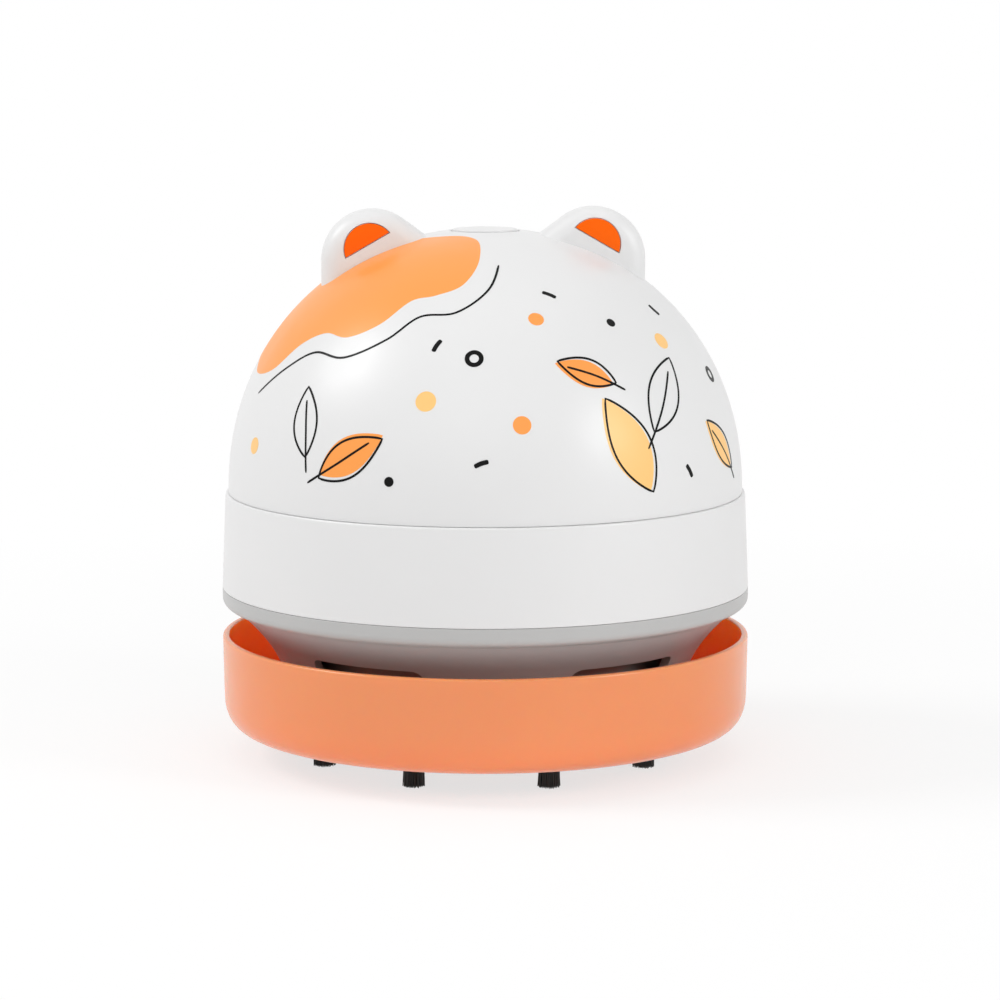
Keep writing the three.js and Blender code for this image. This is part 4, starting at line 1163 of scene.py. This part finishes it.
def shell(name, shapes, proud):
    """One closed thin shell for each shape, a pair of points in 3-D and faces."""
    points, faces = [], []
    for places, patches in shapes:
        first, count = len(points), len(places)
        points += [onto_dome(p, proud) for p in places]
        points += [onto_dome(p, -INK_DEPTH) for p in places]
        edges = {}
        for face in patches:
            faces.append([first + i for i in face])
            faces.append([first + count + i for i in reversed(face)])
            for a, b in zip(face, [*face[1:], face[0]]):
                edges[frozenset((a, b))] = None if frozenset((a, b)) in edges else (a, b)
        for a, b in filter(None, edges.values()):
            faces.append([first + a, first + b, first + count + b, first + count + a])
    return mesh_object(name, points, faces)


def leaf_outline(length, width):
    side = []
    for i in range(LEAF_STEPS + 1):
        t = i / LEAF_STEPS
        half = width / 2 * sin(pi * t) ** LEAF_POWER * (LEAF_BELLY - LEAF_NARROWING * t)
        side.append((half, length * (t - 0.5)))
    return side + [(-x, y) for x, y in reversed(side[1:-1])]


def curve(points, steps, closed=False):
    count = len(points)
    made = []
    for i in range(count if closed else count - 1):
        around = [i + k if closed else max(0, min(count - 1, i + k)) for k in (-1, 0, 1, 2)]
        a, b, c, d = [Vector(points[k % count]) for k in around]
        for k in range(steps):
            t = k / steps
            made.append((b * 2 + (c - a) * t + (a * 2 - b * 5 + c * 4 - d) * t ** 2
                         + (b * 3 - a - c * 3 + d) * t ** 3) / 2)
    return made if closed else [*made, Vector(points[-1])]


def dome_print():
    inks = {"orange": [], "pale": [], "black": []}

    def ink(colour, flat, *place):
        points, faces = flat
        inks[colour].append((placed(points, *place), faces))

    wave, patches = filled(curve(WAVE, COARSE_CURVE, True))
    inks["orange"].append(([dome_at(*p) for p in wave], patches))
    trace = [dome_at(*p) for p in curve(WAVE_LINE, WAVE_CURVE)]
    inks["black"].append(line(trace, LINE_WIDTH, on_dome=True))
    for place, length, width, colour, rib in LEAVES:
        outline = leaf_outline(length, width)
        if colour:
            ink(colour, filled(outline), *place)
            outline = shifted(outline, *LEAF_SHIFT)
        ink("black", line(outline, LINE_WIDTH, True), *place)
        if rib:
            spine = [(x, length * share) for x, share in RIB]
            ink("black", line(curve(spine, FINE_CURVE), LINE_WIDTH), *place)
    for place, radius, colour, ring in DOTS:
        outline = circle(radius)
        ink(colour, line(outline, RING_WIDTH, True) if ring else filled(outline), *place)
    dash = curve([(-DASH_LENGTH / 2, 0), (0, DASH_BOW), (DASH_LENGTH / 2, 0)], COARSE_CURVE)
    for place in DASHES:
        ink("black", line(dash, BOLD_WIDTH), *place)
    for layer, (colour, shapes) in enumerate(inks.items()):
        made = shell(f"print_{colour}", shapes, INK_PROUD + INK_LAYER * layer)
        finished(made, f"ink_{colour}", "housing", "white_shell", angle=PRINT_ANGLE)


# Pieces, each on its body

def tray_inside_painted_light(tray):
    """Gives the tray's inner faces a lighter orange that glows more: painted light that brightens the
    shaded inside of the tray.
    """
    tray.data.materials.append(paints["orange_inner_painted_light"])
    for face in tray.data.polygons:
        inside = hypot(face.center.x, face.center.y) < (tray_high.x - TRAY_RIM) * MM
        face.material_index = int(inside and face.center.z > (floor_top - WELD) * MM)


tray_inside_painted_light(finished(dust_tray(), "orange_gloss", "tray", "tray_plastic", "dust_tray"))
finished(suction_pipe(), "orange_gloss", "tray", "tray_plastic", "suction_pipe")
for seed, direction in enumerate(directions(len(STRIP_WORDS), BRUSH_TURN)):
    brush_strip(STRIP_WORDS[seed], direction, seed)
finished(filter_cup(), "filter_grey", "filter", "filter_plastic", "filter_cup")
finished(filter_grid(), "filter_grey", "filter", "filter_plastic", "filter_grid")
finished(filter_sponge(), "sponge_foam", "filter", "sponge", "filter_sponge", angle=SPONGE_ANGLE)
finished(filter_seal(), "seal_rubber", "filter", "seal_rubber", "filter_seal")
finished(lower_housing(), "grey_gloss", "housing", "grey_shell", "lower_housing")
finished(middle_band(), "white_gloss", "housing", "white_shell", "middle_band")
finished(dome_cover(), "white_gloss", "housing", "white_shell", "dome_cover")
for word in EAR_PLACES:
    ear(word)
finished(fan_plate(), "inner_white", "housing", "inner_plastic", "fan_plate")
charge_port()
finished(charge_lamp(), "lens_clear", "housing", "lamp", "charge_lamp")
finished(fan_wheel(), "black_plastic", "fan", "black_plastic", "fan_wheel")
finished(power_button(), "white_gloss", "button", "white_shell", "power_button")
dome_print()

# CAD pieces that stay as they are, deep inside, get their materials
kept_materials = {
    "inner_white": "motor_frame switch_plunger",
    "plated_steel": "motor_can motor_shaft frame_screw_1 frame_screw_2 frame_screw_3 "
                    "board_screw_1 board_screw_2 motor_screw_1 motor_screw_2",
    "black_plastic": "motor_end_cap switch_body",
    "cell_wrap": "battery_cell",
    "solder_mask": "circuit_board charge_board",
    "sleeve_red": "motor_lead_red cell_lead_red charge_lead_red",
    "sleeve_black": "motor_lead_black cell_lead_black charge_lead_black",
}
for material, nodes in kept_materials.items():
    for node in nodes.split():
        painted(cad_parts[node], material)


# Floor, light and camera

def calculated(tree, operation, first, second):
    return added(tree, "Math", {0: first, 1: second}, operation=operation)[0]


def seen_directly(tree):
    """A socket that is 1 for rays from the camera and for rays that gloss and glass send on."""
    rays = added(tree, "LightPath", {})
    gloss = calculated(tree, "MAXIMUM", rays["Is Camera Ray"], rays["Is Glossy Ray"])
    return calculated(tree, "MAXIMUM", gloss, rays["Is Transmission Ray"])


def floor_material():
    material = bpy.data.materials.new("pale_floor")
    material.use_nodes = True
    tree = material.node_tree
    tree.nodes.clear()
    matt = added(tree, "BsdfDiffuse", {"Color": (FLOOR_SHADE, FLOOR_SHADE, FLOOR_SHADE, 1)})[0]
    places = added(tree, "TexCoord", {})["Object"]
    distance = added(tree, "VectorMath", {0: places}, operation="LENGTH")["Value"]
    share = ranged(tree, distance, FLOOR_GLOW, 1, FLOOR_NEAR * MM, FLOOR_FAR * MM)
    seen = calculated(tree, "MULTIPLY", seen_directly(tree), share)
    glow = added(tree, "Emission", {})[0]
    surface = added(tree, "MixShader", {"Fac": seen, 1: matt, 2: glow})[0]
    added(tree, "OutputMaterial", {"Surface": surface})
    return material


def white_world():
    world = bpy.data.worlds.new("studio")
    bpy.context.scene.world = world
    world.use_nodes = True
    tree = world.node_tree
    shown = calculated(tree, "MULTIPLY", seen_directly(tree), 1 - AMBIENT)
    strength = calculated(tree, "ADD", shown, AMBIENT)
    wired(tree, tree.nodes["Background"], {"Color": (1, 1, 1, 1), "Strength": strength})


def aimed(made, place, target):
    """Sets a light or camera at a place, looking at a target."""
    made.location = Vector(place) * MM
    looking = Vector(target) - Vector(place)
    made.rotation_euler = looking.to_track_quat("-Z", "Y").to_euler()


def soft_light(name, place, width, height, power, mirrored):
    data = bpy.data.lights.new(name, "AREA")
    data.shape = "ELLIPSE"
    data.size, data.size_y = width * MM, height * MM
    data.energy = power
    made = linked(name, data)
    made.visible_glossy = mirrored
    aimed(made, place, LIGHT_TARGET)


corners = [(x * FLOOR_HALF, y * FLOOR_HALF, 0) for x, y in ((-1, -1), (1, -1), (1, 1), (-1, 1))]
floor = mesh_object("floor", corners, [[0, 1, 2, 3]])
floor.data.materials.append(floor_material())
white_world()
for light in LIGHTS:
    soft_light(*light)

camera_data = bpy.data.cameras.new("camera")
camera_data.sensor_width = CAMERA_SENSOR
camera_data.lens = CAMERA_LENS
camera_data.clip_end = CAMERA_FAR * MM
camera = linked("camera", camera_data)
aimed(camera, CAMERA_PLACE, CAMERA_TARGET)
bpy.context.scene.camera = camera
bpy.context.scene.view_settings.view_transform = "Standard"
